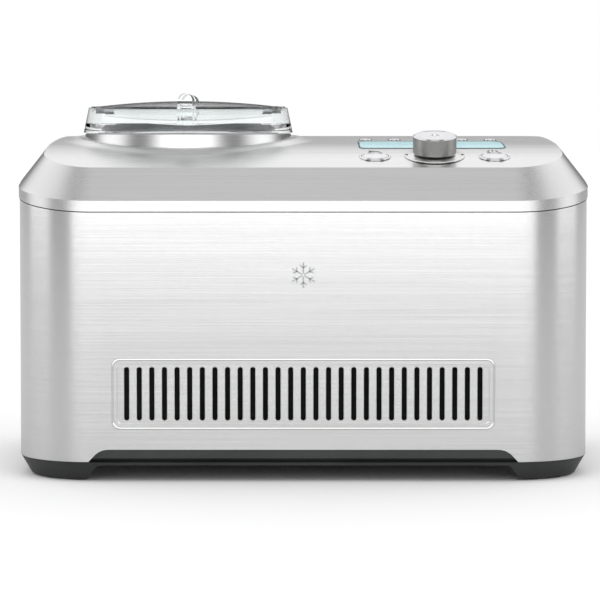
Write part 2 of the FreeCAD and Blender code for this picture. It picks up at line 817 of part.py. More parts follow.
def make_collar():
    axis = Vector(float(size.bowl_axis), 0, 0)
    outer, inner = float(size.collar_radius), float(size.collar_inner)
    top, skirt = float(size.collar_level), outer - 2.4
    ring = Part.makeCylinder(outer, 100, Vector(axis.x, 0, top - 100))
    ring = ring.cut(Part.makeCylinder(skirt, 100, Vector(axis.x, 0, top - 103)))
    ring = ring.cut(Part.makeCylinder(inner, 200, Vector(axis.x, 0, 150)))
    below = deck_slab(0.05, 0.05, float(RIDGE_X) + 3, bottom=100.0)
    ring = ring.cut(below)
    bead = Part.makeCylinder(float(size.bead_radius), 300, axis)
    bead = bead.cut(Part.makeCylinder(outer - 1, 300, axis))
    bead = bead.common(deck_slab(0.05, float(size.bead_height), float(RIDGE_X) + 3))
    piece(formed("collar_shape", ring.fuse(bead).removeSplitter()), "collar_ring")


# ---------------------------------------------------------------- control deck


def tilted(body, x, depth, slide=0.0):
    """Stands a turned body on the deck."""
    place = deck_frame(x, depth)
    lift = place.Rotation.multVec(Vector(0, 0, slide))
    body.Placement = Placement(place.Base + lift, place.Rotation)
    return body


def button_outline(radius, head, crown, stem, length):
    """A round cap with a slightly domed top on a thinner stem."""
    dome = (float(radius) ** 2 + crown ** 2) / (2 * crown)
    return [(0, -length), (stem, -length), (stem, -3.5), (radius, -3.5), (radius, head),
            Arc(dome, 1), (0, head + crown)]


def make_buttons():
    centre, reach = float(size.panel_centre), float(size.button_reach)
    bezels, switches = [], []
    board_top = float(size.board_level + size.board_gauge)
    large = (("power_button", centre + reach), ("start_button", centre - reach))
    for name, x in large:
        cap = turned(name + "_turned", button_outline(size.button_radius, 1.6, 0.5, 3, 12))
        piece(tilted(cap, x, size.panel_row), name)
        ring = turned(name + "_bezel", [(size.button_radius + 0.25, 0.1), (size.bezel_radius, 0.1),
                                        (size.bezel_radius, 0.5), (size.bezel_radius - 0.5, 1.0),
                                        (size.button_radius + 0.25, 1.0)])
        bezels.append(tilted(ring, x, size.panel_row))
        switches.append(switch(name, x, size.panel_row, 12, board_top))
    names = ("cool_button", "churn_button", "sound_button", "unit_button")
    for name, x in zip(names, small_button_places()):
        cap = turned(name + "_turned", button_outline(size.small_radius, 1.0, 0.4, 2, 20))
        piece(tilted(cap, x, size.button_row), name)
        switches.append(switch(name, x, size.button_row, 20, board_top))
    piece(group("button_bezel_group", bezels), "button_bezels")
    piece(group("tact_switch_group", switches), "tact_switches")


def switch(name, x, depth, length, board_top):
    """A small upright switch on the board, 1.4 mm under a button's stem."""
    place = deck_frame(x, depth)
    end = place.multVec(Vector(0, 0, -length))
    return rod(name + "_switch", 3.5, (end.x, end.y, board_top), end.z - 2.4 - board_top)


def make_dial():
    x, row = float(size.panel_centre), size.dial_row
    radius, height = size.dial_radius, size.dial_height
    bore = size.shaft_radius + 0.02
    knob = turned("dial_knob_turned", [
        (bore, 2.6), (radius, 2.6), (radius, 3.6), (radius - 1.4, height - 1.8), (radius - 3.0, height),
        (0, height), (0, height - 3), (bore, height - 3)])
    piece(tilted(knob, x, row), "dial_knob")
    ring = turned("dial_ring_turned", [
        (size.shaft_radius + 4.4, 0.1), (size.dial_ring_radius, 0.1), (size.dial_ring_radius, 0.9),
        (size.dial_ring_radius - 1.2, 2.0), (size.shaft_radius + 4.4, 2.0)])
    piece(tilted(ring, x, row), "dial_ring")
    shaft = turned("dial_shaft_turned", [(0, -19), (size.shaft_radius, -19),
                                         (size.shaft_radius, height - 3.1), (0, height - 3.1)])
    piece(tilted(shaft, x, row), "dial_shaft")
    encoder = turned("dial_encoder_turned", [
        (size.shaft_radius + size.running_gap, -19.4), (7, -19.4), (7, -8), (4, -8), (4, 1.5),
        (size.shaft_radius + size.running_gap, 1.5)])
    piece(tilted(encoder, x, row), "dial_encoder")


def make_display():
    reach = float(RIDGE_X)
    window = display_block(0.0, 150.0, 300.0).common(deck_slab(-1.9, 0.25, reach))
    piece(formed("lcd_window_shape", window), "lcd_window")
    centre = size.panel_centre
    front, back = size.display_front - HALF_DEPTH, size.display_back - HALF_DEPTH
    half = size.display_width / 2
    glass = box("lcd_glass", (centre - half + 3, front + 3, 222.5), (centre + half - 3, back - 3, 226.5))
    frame = box("lcd_frame", (centre - half + 1, front + 1, 219), (centre + half - 1, back - 1, 222.5))
    piece(fuse("lcd_module_fuse", glass, frame), "lcd_module")


def make_control_board():
    level, top = size.board_level, size.board_level + size.board_gauge
    left, right = 26.0, 168.0
    front, back = -104.0, 16.0
    board = box("control_board_plate", (left, front, level), (right, back, top))
    chip = box("control_chip", (112, -50, top), (128, -34, top + 2))
    plug = box("control_plug", (40, -40, top), (60, -32, top + 7))
    piece(fuse("control_board_fuse", board, chip, plug), "control_board")
    posts = []
    for number, (x, y) in enumerate([(left + 5, front + 5), (right - 5, front + 5),
                                     (left + 5, back - 5), (right - 5, back - 5)]):
        under = deck_level(y) - float(size.cover_gauge) - 4.5 * deck_sine(y) - 0.3
        posts.append(rod("board_post_%d" % number, 4.0, (x, y, top), under - float(top)))
    piece(group("board_post_group", posts), "board_posts")


# ---------------------------------------------------------------- bowl, well and drive

AXIS = (size.bowl_axis, 0, 0)


def make_well():
    outer, gauge = size.well_radius, size.well_gauge
    inner = outer - gauge
    floor, top, flange = size.well_floor, size.well_top, size.well_flange
    hole = 10.2
    piece(turned("well_turned", [
        (hole, floor), (outer, floor), (outer, top - gauge), (flange, top - gauge), (flange, top),
        (inner, top), (inner, floor + gauge), (hole, floor + gauge)], AXIS), "evaporator_well")
    rings = []
    for number in range(8):
        ring = doc.addObject("Part::Torus", "coil_ring_%d" % number)
        set_size(ring, "Radius1", size.coil_radius)
        set_size(ring, "Radius2", size.coil_tube_radius)
        set_place(ring, (size.bowl_axis, 0, size.coil_bottom + number * size.coil_pitch))
        rings.append(ring)
    header = rod("coil_header", 2.6, (size.bowl_axis + size.coil_radius, 0, size.coil_bottom),
                 7 * size.coil_pitch)
    piece(fuse("evaporator_coil_fuse", header, *rings), "evaporator_coil")
    piece(turned("foam_turned", [
        (11, size.foam_bottom), (size.foam_radius, size.foam_bottom), (size.foam_radius, size.foam_top),
        (size.foam_inner, size.foam_top), (size.foam_inner, floor - 0.3), (11, floor - 0.3)], AXIS),
        "insulation_foam")


def make_drive():
    radius, gap = size.spindle_radius, size.running_gap
    bottom = size.belt_bottom - 4
    piece(turned("drive_spindle_turned", [(0, bottom), (radius, bottom), (radius, size.spindle_top - 2),
                                          (radius - 2, size.spindle_top), (0, size.spindle_top)], AXIS),
          "drive_spindle")
    top = size.bracket_top
    piece(turned("spindle_bush_turned", [
        (radius + gap, size.bracket_bottom - 1.5), (10, size.bracket_bottom - 1.5), (10, top + 8),
        (radius + gap, top + 8)], AXIS), "spindle_bush")
    floor = size.well_floor
    piece(turned("shaft_seal_turned", [
        (radius + gap, floor + 0.8), (10.1, floor + 0.8), (10.1, floor + 3.2), (radius + 1.5, floor + 3.2),
        (radius + gap, floor + 4.6)], AXIS), "shaft_seal")
    belt_low, belt_high = size.belt_bottom, size.belt_top
    for name, rim, bore, place in (
            ("drive_pulley", size.drive_pulley_radius, radius, AXIS),
            ("motor_pulley", size.motor_pulley_radius, dim(4.0), (size.motor_across, size.motor_along, 0))):
        piece(turned(name + "_turned", [
            (bore, belt_low - 2.5), (rim + 2.2, belt_low - 2.5), (rim + 2.2, belt_low - 0.5),
            (rim, belt_low - 0.5), (rim, belt_high + 0.5), (rim + 2.2, belt_high + 0.5),
            (rim + 2.2, belt_high + 2.5), (bore, belt_high + 2.5)], place), name)
    piece(formed("drive_belt_shape", belt_shape()), "drive_belt")
    piece(rod("motor_shaft_rod", 4.0, (size.motor_across, size.motor_along, belt_low - 4), 24), "motor_shaft")
    piece(turned("drive_motor_turned", [
        (4.05, top), (size.motor_radius, top), (size.motor_radius, 120), (size.motor_radius - 4, 124),
        (8, 124), (8, 128), (0, 128), (0, 60), (4.05, 60)],
        (size.motor_across, size.motor_along, 0)), "drive_motor")
    make_bracket()


def belt_loop(grow):
    """A closed belt line round both pulleys, with straight tangent runs."""
    first = Vector(float(size.bowl_axis), 0, 0)
    last = Vector(float(size.motor_across), float(size.motor_along), 0)
    big, small = float(size.drive_pulley_radius) + grow, float(size.motor_pulley_radius) + grow
    span = (last - first).Length
    heading = math.atan2(last.y - first.y, last.x - first.x)
    lean = math.acos((big - small) / span)

    def at(centre, radius, angle):
        return centre + Vector(radius * math.cos(angle), radius * math.sin(angle), 0)

    big_up, big_down = at(first, big, heading + lean), at(first, big, heading - lean)
    small_up, small_down = at(last, small, heading + lean), at(last, small, heading - lean)
    return Part.Wire([
        Part.Arc(big_up, at(first, big, heading + math.pi), big_down).toShape(),
        Part.makeLine(big_down, small_down),
        Part.Arc(small_down, at(last, small, heading), small_up).toShape(),
        Part.makeLine(small_up, big_up)])


def belt_shape():
    gap = 0.05
    faces = [Part.Face(belt_loop(grow)) for grow in (gap + float(size.belt_gauge), gap)]
    blocks = [f.extrude(Vector(0, 0, float(size.belt_top - size.belt_bottom))) for f in faces]
    belt = blocks[0].cut(blocks[1])
    belt.translate(Vector(0, 0, float(size.belt_bottom)))
    return belt


def make_bracket():
    low, high = float(size.bracket_bottom), float(size.bracket_top)
    plate = Part.Face(belt_loop(14.0)).extrude(Vector(0, 0, high - low))
    plate.translate(Vector(0, 0, low))
    axis = Vector(float(size.bowl_axis), 0, 0)
    motor = Vector(float(size.motor_across), float(size.motor_along), 0)
    heading = math.degrees(math.atan2(motor.y - axis.y, motor.x - axis.x))
    posts = []
    floor = float(size.tray_floor)
    for centre, reach, turns in ((axis, 45.0, (90, 180, 270)), (motor, 20.0, (-55, 55))):
        for turn in turns:
            angle = math.radians(heading + turn)
            foot = centre + Vector(reach * math.cos(angle), reach * math.sin(angle), floor)
            posts.append(Part.makeCylinder(3.5, high - floor, foot))
    solid = plate.multiFuse(posts)
    solid = solid.cut(Part.makeCylinder(10.0, 60, axis))
    solid = solid.cut(Part.makeCylinder(5.0, 60, motor + Vector(0, 0, low - 5)))
    piece(formed("drive_bracket_shape", solid), "drive_bracket")


def make_bowl():
    outer, gauge = size.bowl_radius, size.bowl_gauge
    inner = outer - gauge
    low, top = size.bowl_bottom, size.bowl_top
    bore, column, crest = size.column_bore, size.column_radius, size.column_top
    piece(turned("ice_bowl_turned", [
        (bore, low), (outer - 6, low), Arc(6, 1), (outer, low + 6), (outer, top - 3), (outer + 1.3, top - 3),
        (outer + 1.3, top - 0.8), (outer + 0.5, top), (inner, top), (inner, low + 6), Arc(4.8, -1),
        (inner - 4.8, low + gauge), (column, low + gauge), (column, crest - 1), (column - 0.4, crest),
        (bore, crest)], AXIS), "ice_bowl")
    level, reach, wire = size.bail_level, size.bail_radius, size.bail_wire
    studs, eyes, bores = [], [], []
    axis = size.bowl_axis
    near, width = size.bail_eye_place, size.bail_eye_width
    stud, gauge = size.pivot_length, size.pivot_post_gauge
    for side in (-1, 1):
        post_at = axis + (near + stud if side > 0 else -(near + stud + gauge))
        post = box("pivot_post_%d" % side, (post_at, -2.8, top), (post_at + gauge, 2.8, level + 2.2))
        stud_at = axis + (near if side > 0 else -(near + stud))
        studs.append(fuse("handle_pivot_%d" % side, post,
                          rod("handle_stud_%d" % side, wire, (stud_at, 0, level), stud, "X")))
        eye_at = axis + (near if side > 0 else -(near + width))
        eyes.append(rod("bail_eye_%d" % side, size.bail_eye_radius, (eye_at, 0, level), width, "X"))
        bores.append(rod("bail_bore_%d" % side, wire + size.running_gap, (eye_at - 1, 0, level), 6, "X"))
    piece(group("handle_pivot_group", studs), "handle_pivots")
    hoop = doc.addObject("Part::Torus", "bail_hoop")
    set_size(hoop, "Radius1", reach)
    set_size(hoop, "Radius2", wire)
    hoop.Angle3 = 180
    set_place(hoop, (axis, 0, level))
    ends = box("bail_end_clearance", (axis - 70, -1, level - 5), (axis + 70, 2.5, level + 5))
    wire_shape = fuse("bail_solid", cut("bail_trimmed", hoop, ends), *bail_links(eyes, level))
    piece(cut("bail_cut", wire_shape, *bores), "bowl_handle")


def bail_links(eyes, level):
    """The eyes of the bail, with the short links that join them to its hoop."""
    links = []
    for side in (-1, 1):
        near, width = size.bail_eye_place, size.bail_eye_width
        start = size.bowl_axis + (near if side > 0 else -(near + width))
        links.append(box("bail_link_%d" % side, (start, 1.8, level - 1.2), (start + width, 4.5, level + 1.2)))
    return list(eyes) + links


def make_paddle():
    hub = turned("paddle_hub", [
        (size.column_radius + 0.5, size.bowl_bottom + 3), (size.hub_radius, size.bowl_bottom + 3),
        (size.hub_radius - 2, size.hub_top), (0, size.hub_top), (0, size.spindle_top + 0.3),
        (size.spindle_radius + 0.05, size.spindle_top + 0.3),
        (size.spindle_radius + 0.05, size.column_top + 1.5),
        (size.column_radius + 0.5, size.column_top + 1.5)], AXIS)
    mast = rod("paddle_mast", 5, (size.bowl_axis, 0, size.hub_top - 3), size.paddle_top - size.hub_top + 3)
    reach, low, top = size.paddle_reach, size.bowl_bottom + 4, size.paddle_top
    bars = []
    for side in (-1, 1):
        for number, (near, far) in enumerate(((reach - 6, reach), (30, 34))):
            first, last = (near, far) if side > 0 else (-dim(far), -dim(near))
            bars.append(box("paddle_bar_%d_%d" % (side, number), (size.bowl_axis + first, -2, low),
                            (size.bowl_axis + last, 2, top)))
        for number, (start, end) in enumerate(((low, low + 7), (top - 7, top))):
            first, last = (11, reach - 1) if side > 0 else (-(reach - 1), -11)
            if number:
                first, last = (3, reach - 1) if side > 0 else (-(reach - 1), -3)
            bars.append(box("paddle_arm_%d_%d" % (side, number), (size.bowl_axis + first, -2, start),
                            (size.bowl_axis + last, 2, end)))
    piece(fuse("paddle_fuse", hub, mast, *bars), "paddle")


# ---------------------------------------------------------------- lid


def crest_outline(growth):
    """Half of the hinge barrel: the dome's crest, spun about the hinge line."""
    half = float(size.hinge_half)
    bulge = float(size.dome_radius)
    end = float(size.dome_level - size.hinge_level) - half ** 2 / (2 * bulge) + growth
    return [(0, -half), (end, -half), Arc(bulge, 1), (end, half), (0, half)]


def hinge_barrel(name, growth):
    return turned(name, crest_outline(growth), (size.bowl_axis, 0, size.hinge_level), TURNS["X"])


def dome_outline(radius, gauge=2.0):
    top, bulge = float(size.dome_level), float(size.dome_radius)
    edge = top - float(radius) ** 2 / (2 * bulge)
    return [(0, top - gauge), Arc(bulge, -1), (radius, edge - gauge), (radius, edge), Arc(bulge, 1), (0, top)]


def fin(name, front, back, bottom):
    half = size.fin_width / 2
    axis = size.bowl_axis
    block = box(name + "_block", (axis - half, front, bottom), (axis + half, back, size.fin_level - half))
    crown = rod(name + "_crown", half, (axis, front, size.fin_level - half), dim(back) - front, "Y")
    return fuse(name, block, crown)


def make_lid():
    low, rim = size.lid_bottom, size.lid_rim_level
    wall, skirt, dish = size.lid_wall, size.lid_skirt_radius, size.lid_dish_depth
    shell = turned("lid_wall_turned", [
        (0, low), (skirt, low + dish), (skirt, low),
        (size.lid_base_radius, low), (size.lid_rim_radius, rim), (size.lid_rim_radius - wall, rim),
        (size.lid_base_radius - 3.4, low + dish + 2), (skirt + wall, low + dish + 2), (0, low + 2)], AXIS)
    rear_dome = turned("rear_dome_turned", dome_outline(size.flap_radius + 0.8), AXIS)
    front_box = box("rear_dome_front", (size.bowl_axis - 90, -90, 235), (size.bowl_axis + 90, 4.3, 280))
    half = float(size.hinge_half)
    end = float(size.dome_level - size.hinge_level) - half ** 2 / (2 * float(size.dome_radius))
    edge = end + size.hinge_gap + 0.1
    axis = size.bowl_axis
    swept = prism("flap_sweep", "XY", [[(axis - half, -3), (axis + half, -3), (axis + half, edge),
                                        Arc(size.dome_radius, 1), (axis - half, edge)]],
                  size.hinge_level, 290)
    barrel = hinge_barrel("barrel_clearance", size.hinge_gap)
    rear = cut("rear_dome", rear_dome, front_box, barrel, swept)
    port = turned("lid_port_disc", [(0, low - 7), (size.port_radius, low - 7), (size.port_radius, low + 13),
                                    (0, low + 13)], AXIS)
    port_front = box("lid_port_half", (size.bowl_axis - 60, -60, low - 7),
                     (size.bowl_axis + 60, -8, low + 13))
    port_tool = common("lid_port", port, port_front)
    fin_rear = fin("lid_fin", 8.5, size.fin_back, low + 4)
    lugs, bores, pins = [], [], []
    level = size.hinge_level
    for side in (-1, 1):
        inner = size.bowl_axis + (side * (size.hinge_half + 0.6) if side > 0 else -(size.hinge_half + 10.0))
        lugs.append(rod("hinge_lug_%d" % side, 3.4, (inner, 0, level), 9.4, "X"))
        lugs.append(box("hinge_post_%d" % side, (inner, -3.4, low + 6), (inner + 9.4, 3.4, level)))
        bore_at = inner - 1 if side > 0 else inner + 3
        bores.append(rod("hinge_bore_%d" % side, 1.6, (bore_at, 0, level), 7.4, "X"))
        pin_at = inner - 7 if side > 0 else inner + 3.1
        pins.append(rod("flap_pin_%d" % side, 1.6, (pin_at, 0, level), 13.3, "X"))
    solid = fuse("lid_solid", cut("lid_ported", shell, port_tool), rear, fin_rear, *lugs)
    piece(cut("lid_base_cut", solid, *bores), "lid_base")
    piece(group("flap_pin_group", pins), "flap_pins")
    make_flap()
    seal, drop = size.lid_seal_radius, size.lid_seal_drop
    web = skirt + 1.8
    piece(turned("lid_seal_turned", [
        (skirt, low - drop), (web, low - drop), (web, low - drop + 0.6), (seal, low - drop + 1.8),
        (seal, low - drop + 3.2), (web, low - drop + 4.4), (web, low), (skirt, low)], AXIS), "lid_seal")


def make_flap():
    axis, level = size.bowl_axis, size.hinge_level
    dome = turned("flap_dome_turned", dome_outline(size.flap_radius), AXIS)
    behind = box("flap_behind", (axis - 90, -0.3, 235), (axis + 90, 90, 280))
    clear, bores = [], []
    for side in (-1, 1):
        start = axis + (size.hinge_half + 0.2 if side > 0 else -(size.hinge_half + 12.2))
        clear.append(rod("lug_clearance_%d" % side, 3.9, (start, 0, level), 12, "X"))
        bore_at = axis + (size.hinge_half - 7 if side > 0 else -(size.hinge_half + 1))
        bores.append(rod("flap_bore_%d" % side, 1.65, (bore_at, 0, level), 8, "X"))
    half = cut("flap_half", dome, behind, *clear)
    front_fin = fin("flap_fin", size.fin_front, -15, size.lid_bottom + 4.6)
    barrel = hinge_barrel("flap_barrel", -0.15)
    piece(cut("lid_flap_cut", fuse("lid_flap_solid", half, barrel, front_fin), *bores), "lid_flap")


# ---------------------------------------------------------------- refrigeration


def pipe_shape(points, bend):
    """A round pipe along straight runs with round bends."""
    radius = float(size.pipe_radius)
    vectors = [Vector(*p) for p in points]
    edges, start = [], vectors[0]
    for before, corner, after in zip(vectors, vectors[1:], vectors[2:]):
        back, ahead = (before - corner).normalize(), (after - corner).normalize()
        half_turn = back.getAngle(ahead) / 2
        reach = bend / math.tan(half_turn)
        first, last = corner + back * reach, corner + ahead * reach
        middle = corner + (back + ahead).normalize() * (bend / math.sin(half_turn) - bend)
        edges += [Part.makeLine(start, first), Part.Arc(first, middle, last).toShape()]
        start = last
    edges.append(Part.makeLine(start, vectors[-1]))
    path = Part.Wire(edges)
    ring = Part.Wire(Part.makeCircle(radius, vectors[0], vectors[1] - vectors[0]))
    return path.makePipeShell([ring], True, False)


def make_refrigeration():
    x, y = size.compressor_across, size.compressor_along
    radius, low, top = size.compressor_radius, size.compressor_bottom, size.compressor_top
    crown, edge = size.compressor_crown, size.compressor_edge
    crown_radius = (radius * radius + crown * crown) / (2 * crown)
    can = turned("compressor_can", [
        (0, low), (radius - edge, low), Arc(edge, 1), (radius, low + edge), (radius, top - crown),
        Arc(crown_radius, 1), (0, top)], (x, y, 0))
    plate = box("compressor_plate", (x - 52, y - 44, low - 3), (x + 52, y + 44, low + 1))
    terminal = box("compressor_terminal", (x - 64, y - 18, 70), (x - 44, y + 18, 106))
    piece(fuse("compressor_fuse", can, plate, terminal), "compressor")
    grommets = []
    for number, (sx, sy) in enumerate([(-1, -1), (1, -1), (1, 1), (-1, 1)]):
        grommets.append(rod("grommet_%d" % number, size.grommet_radius,
                            (x + sx * 42, y + sy * 34, size.tray_floor), low - 3 - size.tray_floor))
    piece(group("grommet_group", grommets), "compressor_grommets")
    make_condenser()
    make_fan()
    neck, drier_can = size.pipe_radius, size.drier_radius
    drier = turned("filter_drier_turned", [
        (0, 50), (neck, 50), (neck, 56), (drier_can, 62),
        (drier_can, 108), (neck, 114), (neck, 120), (0, 120)], (10, 84, 0))
    piece(drier, "filter_drier")
    cx, cy, ct = float(x), float(y), float(top)
    piece(formed("discharge_pipe_shape", pipe_shape(
        [(cx + 20, cy + 8, ct - 3), (cx + 20, cy + 8, ct + 22), (cx + 20, 72, ct + 22), (cx + 20, 72, 146.2)],
        12.0)), "discharge_pipe")
    piece(formed("suction_pipe_shape", pipe_shape(
        [(cx - 20, cy - 8, ct - 3), (cx - 20, cy - 8, ct + 34), (22, cy - 8, ct + 34), (22, -28, 100),
         (3.5, -28, 100)], 9.0)), "suction_pipe")


def make_condenser():
    left, right = size.condenser_left, size.condenser_right
    front, back = size.condenser_front, size.condenser_back
    low, top = size.condenser_bottom, size.condenser_top
    parts = [box("condenser_end_left", (left, front, size.tray_floor), (left + 1.5, back, top)),
             box("condenser_end_right", (right - 1.5, front, size.tray_floor), (right, back, top))]
    fin_count, rows, lines = 24, 5, 2
    gauge = size.condenser_fin_gauge
    for number in range(fin_count):
        place = left + 4 + number * (right - left - 9) / (fin_count - 1)
        parts.append(box("condenser_fin_%d" % number, (place, front + 1, low),
                         (place + gauge, back - 1, top)))
    for row in range(rows):
        for line in range(lines):
            spot = (left, front + 8 + 12 * line, low + 14 + size.condenser_row_pitch * row)
            parts.append(rod("condenser_tube_%d_%d" % (row, line), size.condenser_tube_radius, spot,
                             right - left, "X"))
    piece(fuse("condenser_fuse", *parts), "condenser")


def make_fan():
    x, z = size.fan_across, size.fan_level
    left, right = size.condenser_left, size.condenser_right
    start = size.condenser_back + 0.3
    radius = size.fan_radius
    gauge = size.shroud_gauge
    plate = box("shroud_plate", (left, start, size.tray_floor), (right, start + gauge, size.condenser_top))
    ring = rod("shroud_ring", radius + gauge + 2.5, (x, start, z), size.shroud_depth, "Y")
    bore = rod("shroud_bore", radius + 2.5, (x, start - 2, z), 40, "Y")
    body = cut("shroud_cut", fuse("shroud_solid", plate, ring), bore)
    motor_start = start + 27
    struts = []
    strut_count, blade_count = 3, 7
    for number in range(strut_count):
        strut = doc.addObject("Part::Box", "shroud_strut_%d" % number)
        strut.Length, strut.Width, strut.Height = 3, 6, 36
        angle = 360.0 / strut_count * number
        turn = Rotation(Vector(0, 1, 0), angle)
        corner = Vector(float(x), float(start) + 20.5, float(z)) + turn.multVec(Vector(-1.5, 0, 15))
        strut.Placement = Placement(corner, turn)
        struts.append(strut)
    disc = rod("shroud_disc", size.shroud_disc_radius, (x, start + 22.5, z), 4, "Y")
    piece(fuse("fan_shroud_fuse", body, disc, *struts), "fan_shroud")
    can = size.fan_motor_radius
    piece(turned("fan_motor_turned", [
        (3.1, 0), (can, 0), (can, 13), (can - 3, 15), (0, 15), (0, 8), (3.1, 8)],
        (x, motor_start, z), TURNS["Y"]), "fan_motor")
    hub_radius, chord = size.fan_hub_radius, size.fan_blade_chord
    hub = turned("fan_hub", [(0, 0), (hub_radius - 3, 0), (hub_radius, 3), (hub_radius, chord), (0, chord)],
                 (x, start + 4, z), TURNS["Y"])
    blades = []
    for number in range(blade_count):
        blade = doc.addObject("Part::Box", "fan_blade_%d" % number)
        blade.Length, blade.Width, blade.Height = 2, float(chord), float(size.fan_blade_length)
        spin = Rotation(Vector(0, 1, 0), 360.0 * number / blade_count)
        pitch = spin.multiply(Rotation(Vector(0, 0, 1), 38))
        centre = Vector(float(x), float(start) + 11, float(z))
        blade.Placement = Placement(centre + pitch.multVec(Vector(-1, -float(chord) / 2, 13)), pitch)
        blades.append(blade)
    piece(fuse("fan_rotor_fuse", hub, *blades), "fan_rotor")


def make_power_board():
    front = size.power_board_front
    board = box("power_plate", (-50, front, 60), (22, front + 1.6, 150))
    choke = box("power_transformer", (-44, front - 20, 108), (-16, front, 140))
    relay = box("power_relay", (-8, front - 16, 112), (10, front, 132))
    cap_a = rod("power_capacitor_a", 7, (-30, front - 22, 80), 22, "Y")
    cap_b = rod("power_capacitor_b", 5, (-8, front - 16, 78), 16, "Y")
    piece(fuse("power_board_fuse", board, choke, relay, cap_a, cap_b), "power_board")
    inner = WRAP_Y - size.wrap_gauge - 1.5
    posts = []
    for number, (x, z) in enumerate([(-46, 64), (18, 64), (-46, 146), (18, 146)]):
        posts.append(rod("standoff_%d" % number, size.standoff_radius, (x, front + 1.6, z),
                         inner - front - 1.6, "Y"))
    piece(group("standoff_group", posts), "board_standoffs")


make_top_cover()
make_body_wrap()
make_rear_panel()
make_base()
make_collar()
make_buttons()
make_dial()
make_display()
make_control_board()
make_well()
make_drive()
make_bowl()
make_paddle()
make_lid()
make_refrigeration()
make_power_board()
doc.recompute()

# ---------------------------------------------------------------- check and write

faults = []
for item in doc.Objects:
    if "Invalid" in item.State or "Error" in item.State:
        faults.append("%s: %s" % (item.Name, item.State))
for item in pieces:
    if item.Shape.isNull() or not item.Shape.isValid() or not item.Shape.Solids:
        faults.append("%s: null, not valid or without a solid" % item.Label)
if faults:
    raise RuntimeError("\n".join(faults))

os.makedirs("parts", exist_ok=True)
for item in pieces:
    item.Shape.exportStep("parts/%s.step" % item.Label)
    print("%-20s %2d solids %10.1f mm3" % (item.Label, len(item.Shape.Solids), item.Shape.Volume))
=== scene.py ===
"""Looks of the ice cream maker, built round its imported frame. Metres, front face towards -Y."""

import json
import math

import bmesh
import bpy
from mathutils import Matrix, Vector
from mathutils.bvhtree import BVHTree


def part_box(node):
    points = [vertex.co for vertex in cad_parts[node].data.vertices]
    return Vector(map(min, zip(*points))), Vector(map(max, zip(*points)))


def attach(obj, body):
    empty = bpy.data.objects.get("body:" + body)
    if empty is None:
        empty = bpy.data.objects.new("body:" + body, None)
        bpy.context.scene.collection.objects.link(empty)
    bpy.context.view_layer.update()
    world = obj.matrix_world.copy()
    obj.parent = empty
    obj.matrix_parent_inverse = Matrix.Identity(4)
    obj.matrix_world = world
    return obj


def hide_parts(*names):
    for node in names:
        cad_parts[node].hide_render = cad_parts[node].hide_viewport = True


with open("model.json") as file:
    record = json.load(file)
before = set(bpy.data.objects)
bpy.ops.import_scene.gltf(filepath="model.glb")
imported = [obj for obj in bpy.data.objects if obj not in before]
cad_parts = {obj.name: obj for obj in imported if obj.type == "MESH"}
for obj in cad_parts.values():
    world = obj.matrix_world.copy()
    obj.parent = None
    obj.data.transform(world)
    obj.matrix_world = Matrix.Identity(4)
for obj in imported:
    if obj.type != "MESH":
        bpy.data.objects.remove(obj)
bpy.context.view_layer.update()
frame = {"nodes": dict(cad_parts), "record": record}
MM = 0.001

# ---------------------------------------------------------------- places taken from the frame

JOINTS = {joint["name"]: joint for joint in frame["record"]["behaviour"]["joints"]}


def middle(node):
    low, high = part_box(node)
    return (Vector(low) + Vector(high)) / 2


def half_size(node):
    low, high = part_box(node)
    return (Vector(high) - Vector(low)) / 2


BOWL_AXIS = middle("ice_bowl").x
COLLAR_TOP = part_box("collar_ring")[1][2]
CASE_X, CASE_Y = half_size("top_cover").x, half_size("top_cover").y
DIAL_BASE = Vector(JOINTS["dial_turn"]["pos_m"])
DIAL_AXIS = Vector(JOINTS["dial_turn"]["axis"]).normalized()


def skin_of(node):
    """A search tree over a CAD piece's triangles."""
    mesh = frame["nodes"][node].data
    corners = [vertex.co.copy() for vertex in mesh.vertices]
    return BVHTree.FromPolygons(corners, [list(face.vertices) for face in mesh.polygons])


COVER = skin_of("top_cover")


def deck_at(x, y):
    """Height and normal of the deck under a point, or beside it where the deck is cut away."""
    reach = 0.5
    for shift in (0.0, 0.02, 0.04, 0.06):
        for side in (1, -1):
            hit, normal, _, _ = COVER.ray_cast(Vector((x + side * shift, y, reach)), Vector((0, 0, -1)))
            if hit and hit.z > 0.2:
                return hit.z, normal
    raise RuntimeError("no deck at %.3f, %.3f" % (x, y))


def finish(name, mesh_data, material, body, replaces=(), sharp=32):
    """Turns a bmesh into a finished piece: cleaned, shaded by angle, painted and riding on its body."""
    bm = mesh_data
    bmesh.ops.remove_doubles(bm, verts=bm.verts, dist=1e-6)
    bmesh.ops.recalc_face_normals(bm, faces=bm.faces)
    limit = math.radians(sharp)
    for face in bm.faces:
        face.smooth = True
    for edge in bm.edges:
        edge.smooth = edge.is_manifold and edge.calc_face_angle(0) < limit
    mesh = bpy.data.meshes.new(name)
    bm.to_mesh(mesh)
    bm.free()
    item = bpy.data.objects.new(name, mesh)
    bpy.context.collection.objects.link(item)
    mesh.materials.append(MATERIALS[material])
    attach(item, body)
    if replaces:
        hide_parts(*replaces)
    return item


def arc_points(centre, radius, start, end, count):
    """Points on an arc in a profile's plane, angles in degrees."""
    turns = [math.radians(start + (end - start) * n / count) for n in range(count + 1)]
    return [(centre[0] + radius * math.cos(a), centre[1] + radius * math.sin(a)) for a in turns]


